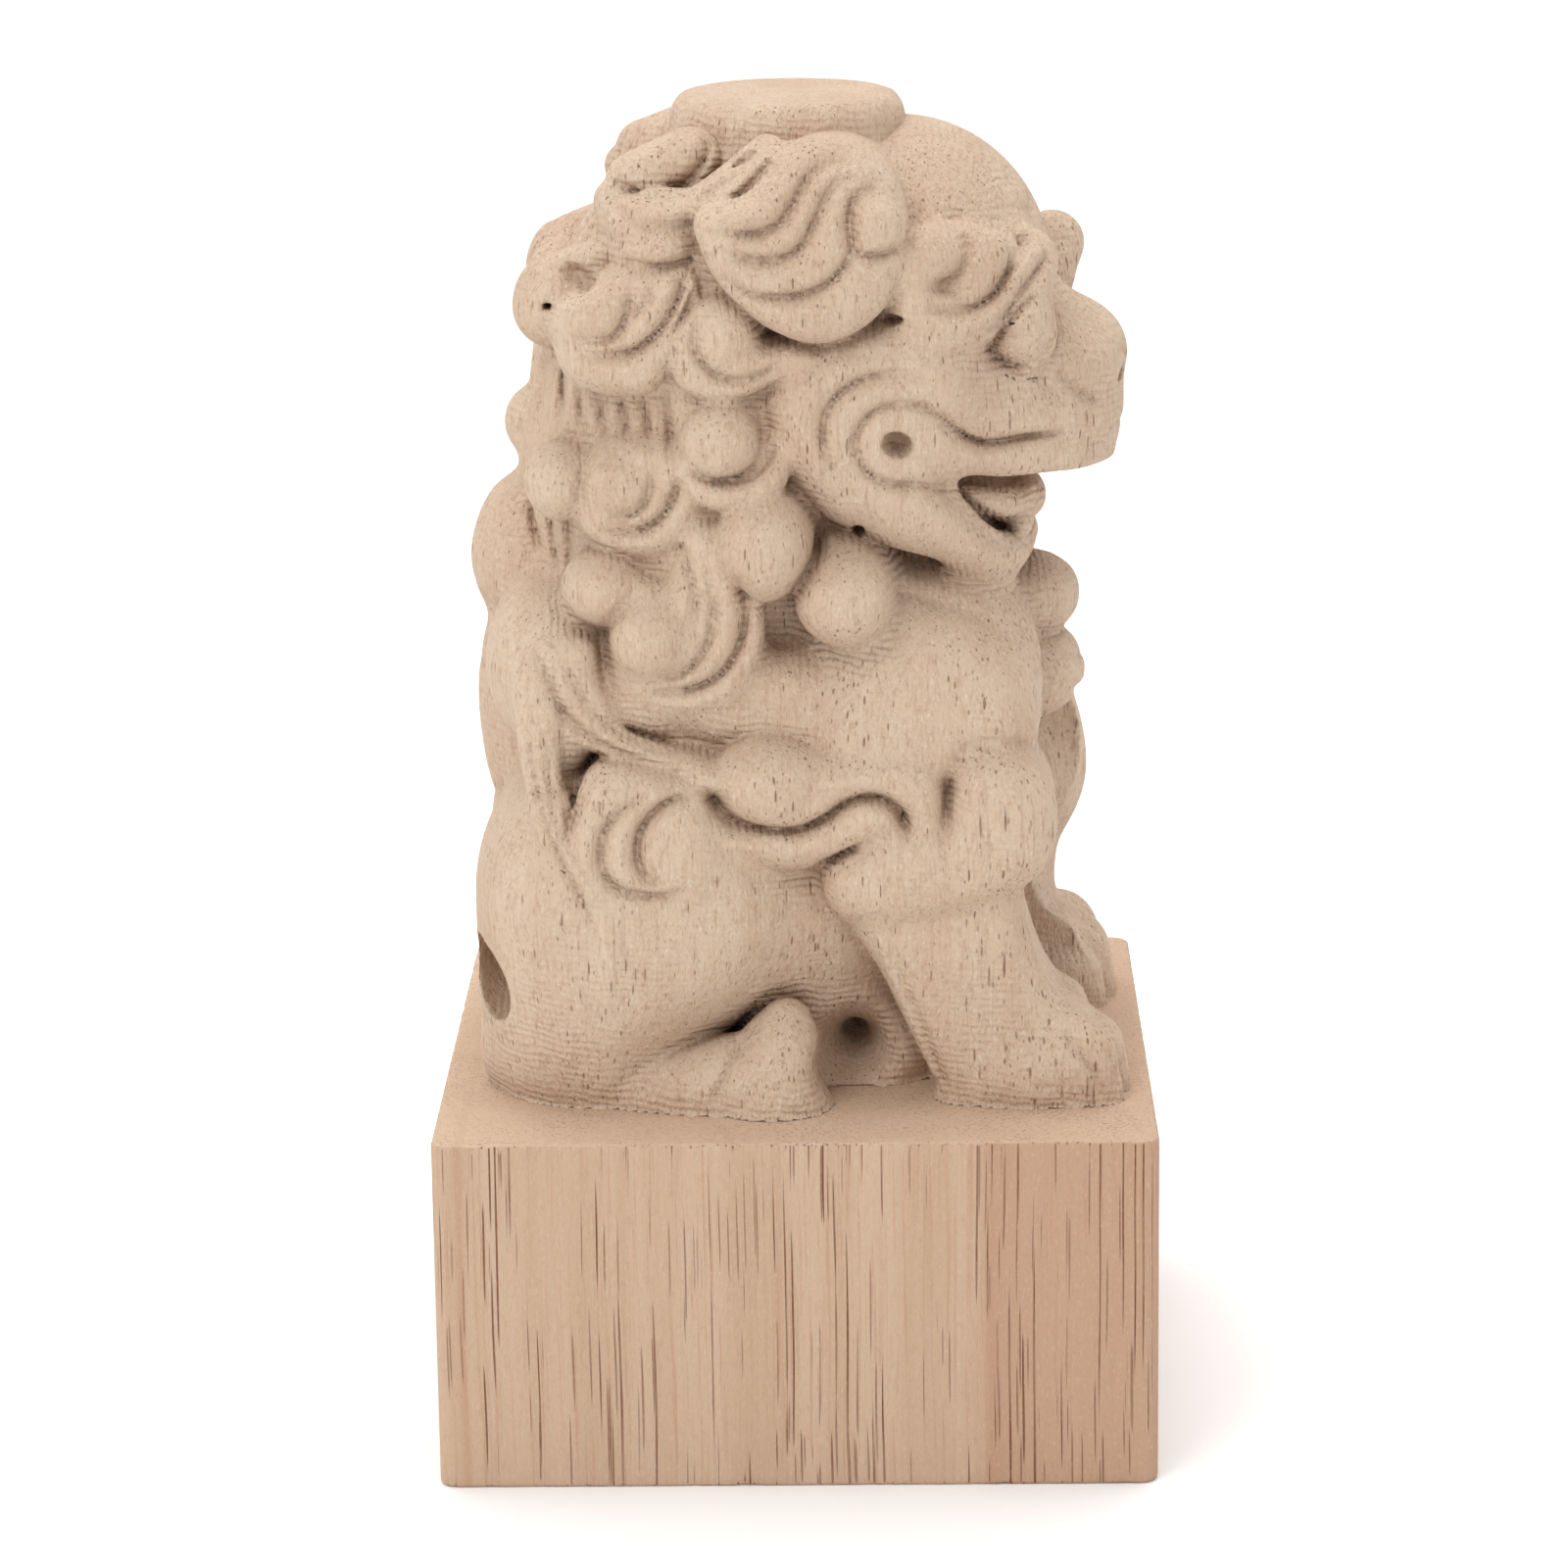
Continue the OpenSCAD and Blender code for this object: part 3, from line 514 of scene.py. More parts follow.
# hair between the buns
hairStrands = (
    [(-28.2, 84), (-29.4, 80), (-30, 76)], [(-26.6, 83), (-27.6, 79), (-28, 74)],
    [(-25, 81.6), (-25, 78.6), (-25.4, 75.6)], [(-23.2, 80.4), (-23, 77.6), (-22.6, 74.4)],
    [(-20.8, 80), (-20.6, 77), (-20, 74.6)], [(-18.4, 80), (-18, 77), (-17.6, 75)],
    [(-16, 80), (-15.4, 77), (-15, 74)], [(-13.4, 81), (-13, 77), (-12.8, 73)],
    [(-29.6, 70), (-29, 64), (-28, 60)], [(-26.8, 66), (-26.4, 62), (-26, 59)],
    [(-24.6, 66), (-24.4, 62), (-24.6, 58.6)],
)


def drawSide(d):
    for stroke in sideCreases:
        crease(d, *stroke)
    for strand in hairStrands:
        crease(d, strand, 1.1, 1.0, (0.2, 0.3))
    # back edge of the foreleg
    roll(d, [(9.4, 19.6), (11.2, 14), (13.2, 8.6), (15.6, 2)], 0.9, 0.35, (0.2, 0.05))


def drawBack(d):
    for y in (2.6, 6.8, 11, 15):
        crease(d, [(y, 106), (y + 1.2, 98), (y - 0.4, 90), (y + 0.8, 80), (y, 70)], 1.5, 1.1)
    for y in (0, 3.4, 6.8):
        crease(d, [(y + 1, 65), (y + 2.2, 57), (y + 0.8, 49), (y + 2, 41), (y + 0.8, 31)], 1.5, 1.2)
    crease(d, [(9, 64), (12, 60), (14, 54), (12, 48)], 1.4, 1.0)
    crease(d, [(12, 43), (15, 37), (14, 30), (17, 24)], 1.4, 0.9)


def drawFront(d):
    # forehead, nose and lip
    crease(d, [(1.6, 98.6), (5, 97), (8, 98)], 1.3, 0.7)
    crease(d, [(1.6, 101.6), (6, 100.4), (10, 101.4)], 1.3, 0.6)
    crease(d, [(1.8, 76), (1.8, 79.6), (4.6, 81.6), (8, 80.4), (8.6, 77.4)], 1.2, 0.8)
    crease(d, [(0, 72.6), (4, 73), (9, 74.2), (13, 76)], 1.2, 0.8)
    # beard and chest
    for y in (1.6, 4.2):
        crease(d, [(y, 58), (y + 0.8, 53), (y, 48)], 1.1, 0.9)
    crease(d, [(0, 41.4), (4, 42.4), (9, 46.4)], 1.3, 1.0)
    crease(d, [(0, 45.4), (4, 46), (8, 49)], 1.3, 0.9)
    crease(d, [(10, 37), (13, 42), (12.6, 48), (16, 53)], 1.3, 0.8)


# presses the drawings into the sides that face them
def pressDrawings(work, side, back, front):
    field = work["field"]
    step = work["step"]
    for first in range(0, field.shape[2], 48):
        last = min(first + 48, field.shape[2])
        lo, hi = max(first - 1, 0), min(last + 1, field.shape[2])
        part = field[:, :, lo:hi]
        gx, gy, gz = np.gradient(part, step)
        keep = slice(first - lo, first - lo + last - first)
        gx, gy, gz = gx[:, :, keep], gy[:, :, keep], gz[:, :, keep]
        size = np.sqrt(gx * gx + gy * gy + gz * gz) + 1e-6
        toSide = np.clip((gy / size - 0.12) / 0.4, 0, 1)
        depth = side["cut"][:, first:last] - side["rise"][:, first:last]
        work.setdefault("pressed", np.zeros(field.shape, np.float32))
        work["pressed"][:, :, first:last] = toSide * depth[:, None, :]
        ahead = np.clip((gx / size - 0.35) / 0.4, 0, 1) * (1 - toSide)
        behind = np.clip((-gx / size - 0.35) / 0.4, 0, 1) * (1 - toSide)
        work["pressed"][:, :, first:last] += ahead * (front["cut"] - front["rise"])[None, :, first:last]
        work["pressed"][:, :, first:last] += behind * (back["cut"] - back["rise"])[None, :, first:last]
    field += work.pop("pressed")


# one closed mesh for each piece; neighbours share their corners, so the outside has no seam
def meshPieces(field, owner, xs, ys, zs):
    step = float(xs[1] - xs[0])
    solid = np.where(field < 0, owner, 0).astype(np.int16)
    nx, ny, nz = solid.shape
    # cells whose eight corners are not all alike
    mixed = np.zeros((nx - 1, ny - 1, nz - 1), bool)
    base = solid[:-1, :-1, :-1]
    corners = [(i, j, k) for i in (0, 1) for j in (0, 1) for k in (0, 1)]
    for i, j, k in corners[1:]:
        mixed |= solid[i:nx - 1 + i, j:ny - 1 + j, k:nz - 1 + k] != base
    cellId = np.full(mixed.shape, -1, np.int32)
    ci, cj, ck = np.nonzero(mixed)
    cellId[ci, cj, ck] = np.arange(len(ci))
    values = {c: field[ci + c[0], cj + c[1], ck + c[2]] for c in corners}
    total = np.zeros((len(ci), 3))
    count = np.zeros(len(ci))
    for a in corners:
        for axis in range(3):
            if a[axis]:
                continue
            b = list(a)
            b[axis] = 1
            va, vb = values[a], values[tuple(b)]
            crosses = (va < 0) != (vb < 0)
            t = np.where(crosses, va / np.where(crosses, va - vb, 1), 0.5)
            point = np.array(a, float)[None, :].repeat(len(ci), 0)
            point[:, axis] = t
            total += np.where(crosses[:, None], point, 0)
            count += crosses
    outer = count > 0
    local = np.where(outer[:, None], total / np.maximum(count, 1)[:, None], 0.5)
    start = np.array([xs[0], ys[0], zs[0]], float)
    verts = start + (np.stack([ci, cj, ck], 1) + local) * step
    quads, sideA, sideB = [], [], []
    for axis in range(3):
        cut0 = [slice(None)] * 3
        cut1 = [slice(None)] * 3
        cut0[axis] = slice(0, -1)
        cut1[axis] = slice(1, None)
        diff = solid[tuple(cut0)] != solid[tuple(cut1)]
        u, v = [(1, 2), (2, 0), (0, 1)][axis]
        for other in (u, v):
            edge = [slice(None)] * 3
            edge[other] = slice(0, 1)
            diff[tuple(edge)] = False
            edge[other] = slice(-1, None)
            diff[tuple(edge)] = False
        at = np.array(np.nonzero(diff)).T
        ring = []
        for du, dv in ((-1, -1), (0, -1), (0, 0), (-1, 0)):
            q = at.copy()
            q[:, u] += du
            q[:, v] += dv
            ring.append(cellId[q[:, 0], q[:, 1], q[:, 2]])
        quads.append(np.stack(ring, 1))
        nxt = at.copy()
        nxt[:, axis] += 1
        sideA.append(solid[at[:, 0], at[:, 1], at[:, 2]])
        sideB.append(solid[nxt[:, 0], nxt[:, 1], nxt[:, 2]])
    return verts, outer, np.vstack(quads), np.concatenate(sideA), np.concatenate(sideB)


def sampleField(field, points, start, step):
    g = (points - start) / step
    i = np.clip(g.astype(int), 0, np.array(field.shape) - 2)
    f = g - i
    out = np.zeros(len(points))
    for a in (0, 1):
        for b in (0, 1):
            for c in (0, 1):
                share = [f[:, k] if side else 1 - f[:, k] for k, side in enumerate((a, b, c))]
                w = share[0] * share[1] * share[2]
                out += w * field[i[:, 0] + a, i[:, 1] + b, i[:, 2] + c]
    return out


# evens out the hidden walls between pieces; the outside stays where it was cut
def relaxInside(verts, outer, quads):
    a = np.concatenate([quads[:, 0], quads[:, 1], quads[:, 2], quads[:, 3]])
    b = np.concatenate([quads[:, 1], quads[:, 2], quads[:, 3], quads[:, 0]])
    count = np.bincount(a, minlength=len(verts)) + np.bincount(b, minlength=len(verts))
    verts = verts.copy()
    for _ in range(5):
        total = np.stack([np.bincount(a, verts[b, k], len(verts)) + np.bincount(b, verts[a, k], len(verts))
                          for k in range(3)], 1)
        mean = total / np.maximum(count, 1)[:, None]
        verts[~outer] = mean[~outer]
    return verts


# the outside's own direction at each corner, and how deep in a cut it lies
def skinFacts(field, verts, outer, start, step):
    normals = np.zeros_like(verts)
    hollow = np.zeros(len(verts))
    at = verts[outer]
    e = step * 0.8
    ways = np.eye(3) * e
    slope = np.stack([sampleField(field, at + w, start, step) - sampleField(field, at - w, start, step)
                      for w in ways], 1)
    slope /= np.maximum(np.linalg.norm(slope, axis=1, keepdims=True), 1e-9)
    normals[outer] = slope
    openness = np.zeros(len(at))
    for far, share in ((1.0, 0.5), (2.4, 0.5)):
        openness += share * np.clip(sampleField(field, at + slope * far, start, step) / far, 0, 1)
    hollow[outer] = np.clip(1 - openness, 0, 1)
    return normals, hollow


# what a user would change in the wood: colours are linear, lengths in metres
woodLook = {
    "carvedLight": (0.775, 0.595, 0.442, 1),
    "carvedDark": (0.700, 0.502, 0.360, 1),
    "plinthLight": (0.590, 0.425, 0.298, 1),
    "plinthDark": (0.520, 0.345, 0.230, 1),
    "heartStreak": (0.490, 0.285, 0.185, 1),
    "pore": (0.210, 0.080, 0.040, 1),
    # painted shade colour for the cuts and hollows
    "paintedCreviceShade": (0.330, 0.165, 0.085, 1),
    "torn": (0.86, 0.74, 0.62, 1),
    # paler colour for upward faces: end grain, and painted light from above
    "endGrainAndTopLight": (0.700, 0.520, 0.375, 1),
    "redFrom": 0.019,       # x where the redder stretch begins, and where it is full
    "redFull": 0.0225,
    "redSeams": ((0.0218, 0.0010), (-0.0365, 0.0009)),
    "ridgePitch": 0.00085,
    "poreDip": 0.00012,
    "roughness": 0.8,
}


# small helpers: each wires one node after what it is given, and gives back its output
def maths(kind, a, b=0.0):
    tree = (b if isinstance(a, float) else a).id_data
    made = tree.nodes.new("ShaderNodeMath")
    made.operation = kind
    for socket, value in zip(made.inputs, (a, b)):
        if isinstance(value, float):
            socket.default_value = value
        else:
            tree.links.new(value, socket)
    return made.outputs[0]


def times(a, b):
    return maths("MULTIPLY", a, b)


def plus(a, b):
    return maths("ADD", a, b)


def minus(a, b):
    return maths("SUBTRACT", a, b)


def stretched(coords, scale, move=(0, 0, 0)):
    made = coords.id_data.nodes.new("ShaderNodeMapping")
    made.inputs["Scale"].default_value = scale
    made.inputs["Location"].default_value = move
    coords.id_data.links.new(coords, made.inputs["Vector"])
    return made.outputs[0]


# scale is how many waves fit in a metre, along x, y and z
def noise(coords, scale, detail, rough=0.5, output=0):
    made = coords.id_data.nodes.new("ShaderNodeTexNoise")
    made.inputs["Scale"].default_value = 1.0
    made.inputs["Detail"].default_value = detail
    made.inputs["Roughness"].default_value = rough
    coords.id_data.links.new(stretched(coords, scale), made.inputs["Vector"])
    return made.outputs[output]


def ramp(value, low, high, toLow=0.0, toHigh=1.0):
    made = value.id_data.nodes.new("ShaderNodeMapRange")
    made.interpolation_type = "SMOOTHSTEP"
    for name, number in (("From Min", low), ("From Max", high), ("To Min", toLow), ("To Max", toHigh)):
        made.inputs[name].default_value = number
    value.id_data.links.new(value, made.inputs["Value"])
    return made.outputs["Result"]


def tint(amount, first, second):
    tree = amount.id_data
    made = tree.nodes.new("ShaderNodeMix")
    made.data_type = "RGBA"
    tree.links.new(amount, made.inputs["Factor"])
    for socket, value in ((made.inputs[6], first), (made.inputs[7], second)):
        if isinstance(value, tuple):
            socket.default_value = value
        else:
            tree.links.new(value, socket)
    return made.outputs[2]


# thin tubes that run up the grain: dashes on the sides, dots on the end grain
def poreMask(coords, across, along, wide, amount):
    tree = coords.id_data
    scaled = stretched(coords, (1 / (across * mm), 1 / (across * mm), 1 / (along * mm)))
    cells = tree.nodes.new("ShaderNodeTexVoronoi")
    cells.voronoi_dimensions = "3D"
    cells.inputs["Scale"].default_value = 1.0
    tree.links.new(scaled, cells.inputs["Vector"])
    return ramp(minus(times(amount, wide), cells.outputs["Distance"]), -0.025, 0.05)


def makeWood(name, light, dark, look):
    wood = bpy.data.materials.new(name)
    wood.use_nodes = True
    tree = wood.node_tree
    tree.nodes.clear()
    out = tree.nodes.new("ShaderNodeOutputMaterial")
    skin = tree.nodes.new("ShaderNodeBsdfPrincipled")
    tree.links.new(skin.outputs[0], out.inputs[0])
    coords = tree.nodes.new("ShaderNodeTexCoord").outputs["Object"]
    # the grain wanders a little as it climbs
    shift = tree.nodes.new("ShaderNodeVectorMath")
    shift.operation = "MULTIPLY_ADD"
    tree.links.new(noise(coords, (42, 42, 42), 1.0, output="Color"), shift.inputs[0])
    shift.inputs[1].default_value = (look["wander"], look["wander"], 0)
    tree.links.new(coords, shift.inputs[2])
    grain = shift.outputs[0]
    apart = tree.nodes.new("ShaderNodeSeparateXYZ")
    tree.links.new(grain, apart.inputs[0])
    # broad colour: growth bands and a redder stretch towards the lion's front
    bands = noise(grain, (150, 150, 4), 3.0, 0.6)
    colour = tint(ramp(bands, 0.36, 0.66, 0, look["bands"]), light, dark)
    fineBands = noise(grain, (900, 900, 22), 3.0, 0.65)
    colour = tint(ramp(fineBands, 0.45, 0.85, 0, 0.5), colour, dark)
    threads = noise(grain, (2600, 2600, 40), 2.0, 0.6)
    colour = tint(ramp(threads, 0.5, 0.75, 0, look["threads"]), colour, woodLook["heartStreak"])
    redder = ramp(apart.outputs[0], woodLook["redFrom"], woodLook["redFull"], 0, look["streak"])
    colour = tint(redder, colour, woodLook["heartStreak"])
    for place, half in woodLook["redSeams"]:
        edge = maths("ABSOLUTE", minus(apart.outputs[0], place))
        colour = tint(ramp(edge, half, 0.0, 0, look["streak"]), colour, woodLook["heartStreak"])
    # pores, thicker on the ground where the growth is open
    crowd = noise(grain, (110, 110, 10), 2.0)
    amount = ramp(crowd, 0.3, 0.7, 0.5, 1.0)
    front = ramp(apart.outputs[0], 0.019, 0.023, 1.0, 1.22)
    amount = times(amount, front)
    longPores = poreMask(grain, look["poreApart"], look["poreLength"], look["poreWide"], amount)
    shortPores = poreMask(stretched(grain, (1, 1, 1), (0.013, 0.007, 0.021)), look["poreApart"] * 0.9,
                          look["poreLength"] * 0.3, look["poreWide"] * 0.9, amount)
    pores = maths("MAXIMUM", longPores, times(shortPores, 0.7))
    depthTone = noise(grain, (420, 420, 60), 2.0)
    poreTint = times(pores, ramp(depthTone, 0.32, 0.6, 0.45, look["poreDark"]))
    colour = tint(poreTint, colour, woodLook["pore"])
    # the level top is paler: end grain, and painted light from above on upward faces; cutter ridges follow
    # the way the surface turns
    turned = tree.nodes.new("ShaderNodeSeparateXYZ")
    tree.links.new(tree.nodes.new("ShaderNodeNewGeometry").outputs["Normal"], turned.inputs[0])
    colour = tint(ramp(turned.outputs[2], 0.6, 0.95, 0, look["endGrainAndTopLight"]), colour, woodLook["endGrainAndTopLight"])
    upward = times(turned.outputs[2], turned.outputs[2])
    forward = times(turned.outputs[0], turned.outputs[0])
    lying = ramp(minus(upward, forward), 0.12, 0.3)
    wave = noise(coords, (240, 240, 240), 2.0)
    bend = times(wave, 0.0016)
    rows = []
    for axis, other in ((2, 0), (0, 2)):
        level = plus(apart.outputs[axis], bend)
        level = plus(level, times(apart.outputs[other], 0.08))
        rows.append(maths("SINE", times(level, 2 * pi / woodLook["ridgePitch"])))
    row = plus(times(rows[0], minus(1.0, lying)), times(rows[1], lying))
    # painted shade held in the cuts, combed by the ridges: darker colour where the hollow measure is deep
    hollow = tree.nodes.new("ShaderNodeAttribute")
    hollow.attribute_name = "hollow"
    comb = times(row, ramp(hollow.outputs["Fac"], 0.05, 0.35, 0, 0.09))
    paintedShade = ramp(plus(hollow.outputs["Fac"], comb), 0.22, 1.1, 0, 0.55)
    colour = tint(paintedShade, colour, woodLook["paintedCreviceShade"])
    fleck = noise(coords, (2600, 2600, 1100), 3.0, 0.7)
    colour = tint(ramp(fleck, 0.52, 0.76, 0, look["fleck"]), colour, woodLook["torn"])
    stain = noise(coords, (1500, 1500, 600), 3.0, 0.7)
    colour = tint(ramp(stain, 0.5, 0.74, 0, look["stain"]), colour, woodLook["heartStreak"])
    tree.links.new(colour, skin.inputs["Base Color"])
    rough = ramp(fleck, 0.2, 0.8, woodLook["roughness"] - 0.08, woodLook["roughness"] + 0.12)
    tree.links.new(rough, skin.inputs["Roughness"])
    skin.inputs["Specular IOR Level"].default_value = 0.25
    patchy = ramp(noise(coords, (130, 130, 130), 1.0), 0.35, 0.7, 0.3, 1.0)
    deeper = plus(patchy, times(hollow.outputs["Fac"], 3.5))
    ridgeHeight = times(times(row, deeper), look["ridge"])
    fibre = noise(coords, (3200, 3200, 900), 4.0, 0.75)
    coarse = noise(coords, (1300, 1300, 500), 3.0, 0.65)
    height = plus(ridgeHeight, times(fibre, look["fuzz"]))
    height = plus(height, times(coarse, look["fuzz"] * 1.6))
    height = minus(height, times(pores, woodLook["poreDip"]))
    bump = tree.nodes.new("ShaderNodeBump")
    bump.inputs["Strength"].default_value = 1.0
    bump.inputs["Distance"].default_value = 1.0
    tree.links.new(height, bump.inputs["Height"])
    tree.links.new(bump.outputs[0], skin.inputs["Normal"])
    return wood


# lengths of the pores are in mm, ridge and fuzz heights in metres
carvedLook = {"poreApart": 0.75, "poreLength": 7, "poreWide": 0.19, "poreDark": 0.72, "threads": 0.35,
              "bands": 0.7, "streak": 0.06, "fleck": 0.7, "stain": 0.5, "ridge": 0.00006, "fuzz": 0.00042,
              "wander": 0.0014, "endGrainAndTopLight": 0.0}
sawnLook = {"poreApart": 0.50, "poreLength": 105, "poreWide": 0.275, "poreDark": 1.0, "threads": 0.7,
            "bands": 0.6, "streak": 0.6, "fleck": 0.2, "stain": 0.35, "ridge": 0.0, "fuzz": 0.00016,
            "wander": 0.0007, "endGrainAndTopLight": 0.6}
carvedWood = makeWood("raw carved wood", woodLook["carvedLight"], woodLook["carvedDark"], carvedLook)
plinthWood = makeWood("raw plinth wood", woodLook["plinthLight"], woodLook["plinthDark"], sawnLook)
print("wood made")


# lion into Blender
def makeMesh(name, points, faces, cornerNormals, hollow):
    mesh = bpy.data.meshes.new(name)
    mesh.vertices.add(len(points))
    mesh.vertices.foreach_set("co", points.astype(np.float32).ravel())
    mesh.loops.add(faces.size)
    mesh.loops.foreach_set("vertex_index", faces.astype(np.int32).ravel())
    mesh.polygons.add(len(faces))
    mesh.polygons.foreach_set("loop_start", np.arange(0, faces.size, 4, dtype=np.int32))
    mesh.update(calc_edges=True)
    mesh.validate()
    mesh.polygons.foreach_set("use_smooth", np.ones(len(faces), bool))
    # hollow: how deep in a cut each corner lies; the wood material paints shade by it and deepens the ridge
    # bump by it
    mark = mesh.attributes.new("hollow", "FLOAT", "POINT")
    mark.data.foreach_set("value", hollow.astype(np.float32))
    if cornerNormals is not None:
        mesh.normals_split_custom_set(cornerNormals.reshape(-1, 3).tolist())
    piece = bpy.data.objects.new(name, mesh)
    bpy.context.scene.collection.objects.link(piece)
    return piece


def faceNormals(points, faces):
    n = np.cross(points[faces[:, 2]] - points[faces[:, 0]], points[faces[:, 3]] - points[faces[:, 1]])
    return n / np.maximum(np.linalg.norm(n, axis=1, keepdims=True), 1e-12)


# pieces that cross the middle; all others come as a near and a far one
middlePieces = ("head_pad", "torso", "tail", "mane", "skull", "muzzle", "lower_jaw", "nape_nub", "beard_lock",
                "chest_lock", "plinth")


def carveHalf(far, step):
    work = carveBlock(step)
    shapeHead(work, far)
    shapeBody(work, far)
    side = blankDrawing(work["xs"], work["zs"])
    drawSide(side)
    back = blankDrawing(work["ys"], work["zs"])
    drawBack(back)
    front = blankDrawing(work["ys"], work["zs"])
    drawFront(front)
    pressDrawings(work, side, back, front)
    shapeGround(work)
    return work


def joinHalves(near, far):
    names = [""]

    def renumber(work, ending):
        numbers = [0]
        for name in work["names"][1:]:
            full = name if name in middlePieces else name + ending
            if full not in names:
                names.append(full)
            numbers.append(names.index(full))
        return np.array(numbers, np.int16)[work["owner"]]

    owner = np.concatenate([renumber(near, "_near")[:, ::-1, :], renumber(far, "_far")], 1)
    field = np.concatenate([near["field"][:, ::-1, :], far["field"]], 1)
    ys = np.concatenate([-near["ys"][::-1], near["ys"]])
    return field, owner, ys, names


step = block["step"]
near = carveHalf(0, step)
far = carveHalf(1, step)
field, owner, ys, names = joinHalves(near, far)
print("block carved", field.shape)
verts, outer, quads, sideA, sideB = meshPieces(field, owner, near["xs"], ys, near["zs"])
start = np.array([near["xs"][0], ys[0], near["zs"][0]], float)
verts = relaxInside(verts, outer, quads)
normals, hollow = skinFacts(field, verts, outer, start, step)
print("skin found", len(verts))

for number, name in enumerate(names):
    if not name or name == "plinth":
        continue
    mineA, mineB = sideA == number, sideB == number
    faces = np.vstack([quads[mineA], quads[mineB][:, ::-1]])
    other = np.concatenate([sideB[mineA], sideA[mineB]])
    if not len(faces):
        print("no wood left for", name)
        continue
    used, index = np.unique(faces, return_inverse=True)
    index = index.reshape(faces.shape)
    points = verts[used] * mm + (0, 0, plinthTop)
    outside = other == 0
    corner = normals[faces].copy()
    flat = faceNormals(verts, faces)
    corner[~outside] = flat[~outside][:, None, :]
    # the painted shade from hollow fades out towards the plinth
    footing = np.clip(verts[used][:, 2] / 2.5, 0.1, 1)
    piece = makeMesh(name + "_wood", points, index, corner, hollow[used] * footing)
    piece.data.materials.append(carvedWood)
    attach(piece, "root")
    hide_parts(name)
print("lion pieces made")


# plinth
plinthLook = {
    "cornerRadius": 2.0 * mm,
    "edgeRadius": 0.45 * mm,
    "cell": 0.8 * mm,
    "seed": 7,
}


# slow waves with seeded phases, about -1 to 1
def ripple(points, lengths, seed):
    dice = np.random.RandomState(seed)
    total = np.zeros(len(points))
    for _ in range(14):
        way = dice.normal(size=3) / lengths
        total += np.sin(points @ way * 2 * pi + dice.uniform(0, 2 * pi))
    return total / 5.3


def makePlinth():
    low, high = np.array(plinthLow), np.array(plinthHigh)
    half = (high[0] - low[0]) / 2
    r = plinthLook["cornerRadius"]
    cell = plinthLook["cell"] * 1
    ring = []
    for quarter in range(4):
        middle = np.array([half - r, half - r])
        arc = [middle + r * np.array([cos(a), sin(a)]) for a in np.linspace(0, pi / 2, 7)]
        run = np.linspace(half - r, -(half - r), int(round(2 * (half - r) / cell)) + 1)[1:-1]
        side = [np.array([x, half]) for x in run]
        turn = quarter * pi / 2
        spin = np.array([[cos(turn), -sin(turn)], [sin(turn), cos(turn)]])
        ring += [spin @ p for p in arc + side]
    ring = np.array(ring)
    e = plinthLook["edgeRadius"]
    rows = []
    insets = list(np.linspace(0, 1, 36)[1:])
    for s in reversed(insets):
        rows.append((1 - s, 0.0, low[2]))
    for a in np.linspace(0, pi / 2, 4):
        rows.append((1.0, e * (1 - sin(a)), low[2] + e * (1 - cos(a))))
    for z in np.linspace(low[2] + e, high[2] - e, int(round((high[2] - low[2] - 2 * e) / cell)))[1:-1]:
        rows.append((1.0, 0.0, z))
    for a in np.linspace(0, pi / 2, 4):
        rows.append((1.0, e * (1 - cos(a)), high[2] - e * (1 - sin(a))))
    for s in insets:
        rows.append((1 - s, 0.0, high[2]))
    points, faces = [], []
    outward = ring / np.linalg.norm(ring, axis=1, keepdims=True)
    count = len(ring)
    for k, (grow, inset, z) in enumerate(rows):
        shrink = np.where(np.abs(ring) > half - r - 1e-9, 1, 0)
        plan = ring * max(grow, 1e-4) - np.sign(ring) * shrink * inset
        points.append(np.column_stack([plan, np.full(count, z)]))
    points = np.vstack(points)
    for k in range(len(rows) - 1):
        a = k * count + np.arange(count)
        b = k * count + (np.arange(count) + 1) % count
        faces.append(np.column_stack([a, b, b + count, a + count]))
    faces = np.vstack(faces)
    # worn and torn arrises, more on the top and bottom ones
    toTop = np.abs(points[:, 2] - high[2])
    toBottom = np.abs(points[:, 2] - low[2])
    fromSide = np.maximum(half - np.abs(points[:, :2]).max(1), 0)
    closeBy = np.exp(-(np.minimum(toTop, toBottom) + fromSide) / (0.7 * mm))
    nick = np.clip(ripple(points, np.array([2.4, 2.4, 4.0]) * mm, plinthLook["seed"]), 0, 1.5)
    nick = nick * np.clip(ripple(points, np.array([9, 9, 60.0]) * mm, plinthLook["seed"] + 1) + 0.4, 0, 1)
    inward = -np.column_stack([points[:, :2] / half, (points[:, 2] - (low[2] + high[2]) / 2) / (half / 2)])
    inward /= np.maximum(np.linalg.norm(inward, axis=1, keepdims=True), 1e-9)
    points += inward * (closeBy * nick * 0.4 * mm)[:, None]
    hollow = np.zeros(len(points))
    piece = makeMesh("plinth_wood", points, faces, None, hollow)
    # flat faces shade flat, rounded ones smooth
    piece.data.set_sharp_from_angle(angle=radians(40))
    piece.data.materials.append(plinthWood)
    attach(piece, "root")
    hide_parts("plinth")
    return piece


makePlinth()
print("plinth made")


# round pad on the head
padLook = {
    "top": 110.0,           # heights above the plinth
    "bottom": 96.0,
    "radius": 13.2,
    "flat": 11.2,           # radius of the level top
    "flare": 0.5,           # how much wider the skirt gets towards the crown
    "rim": 3.2,             # rounding of the top's rim
    "foot": 104,            # where the skirt meets the crown
}


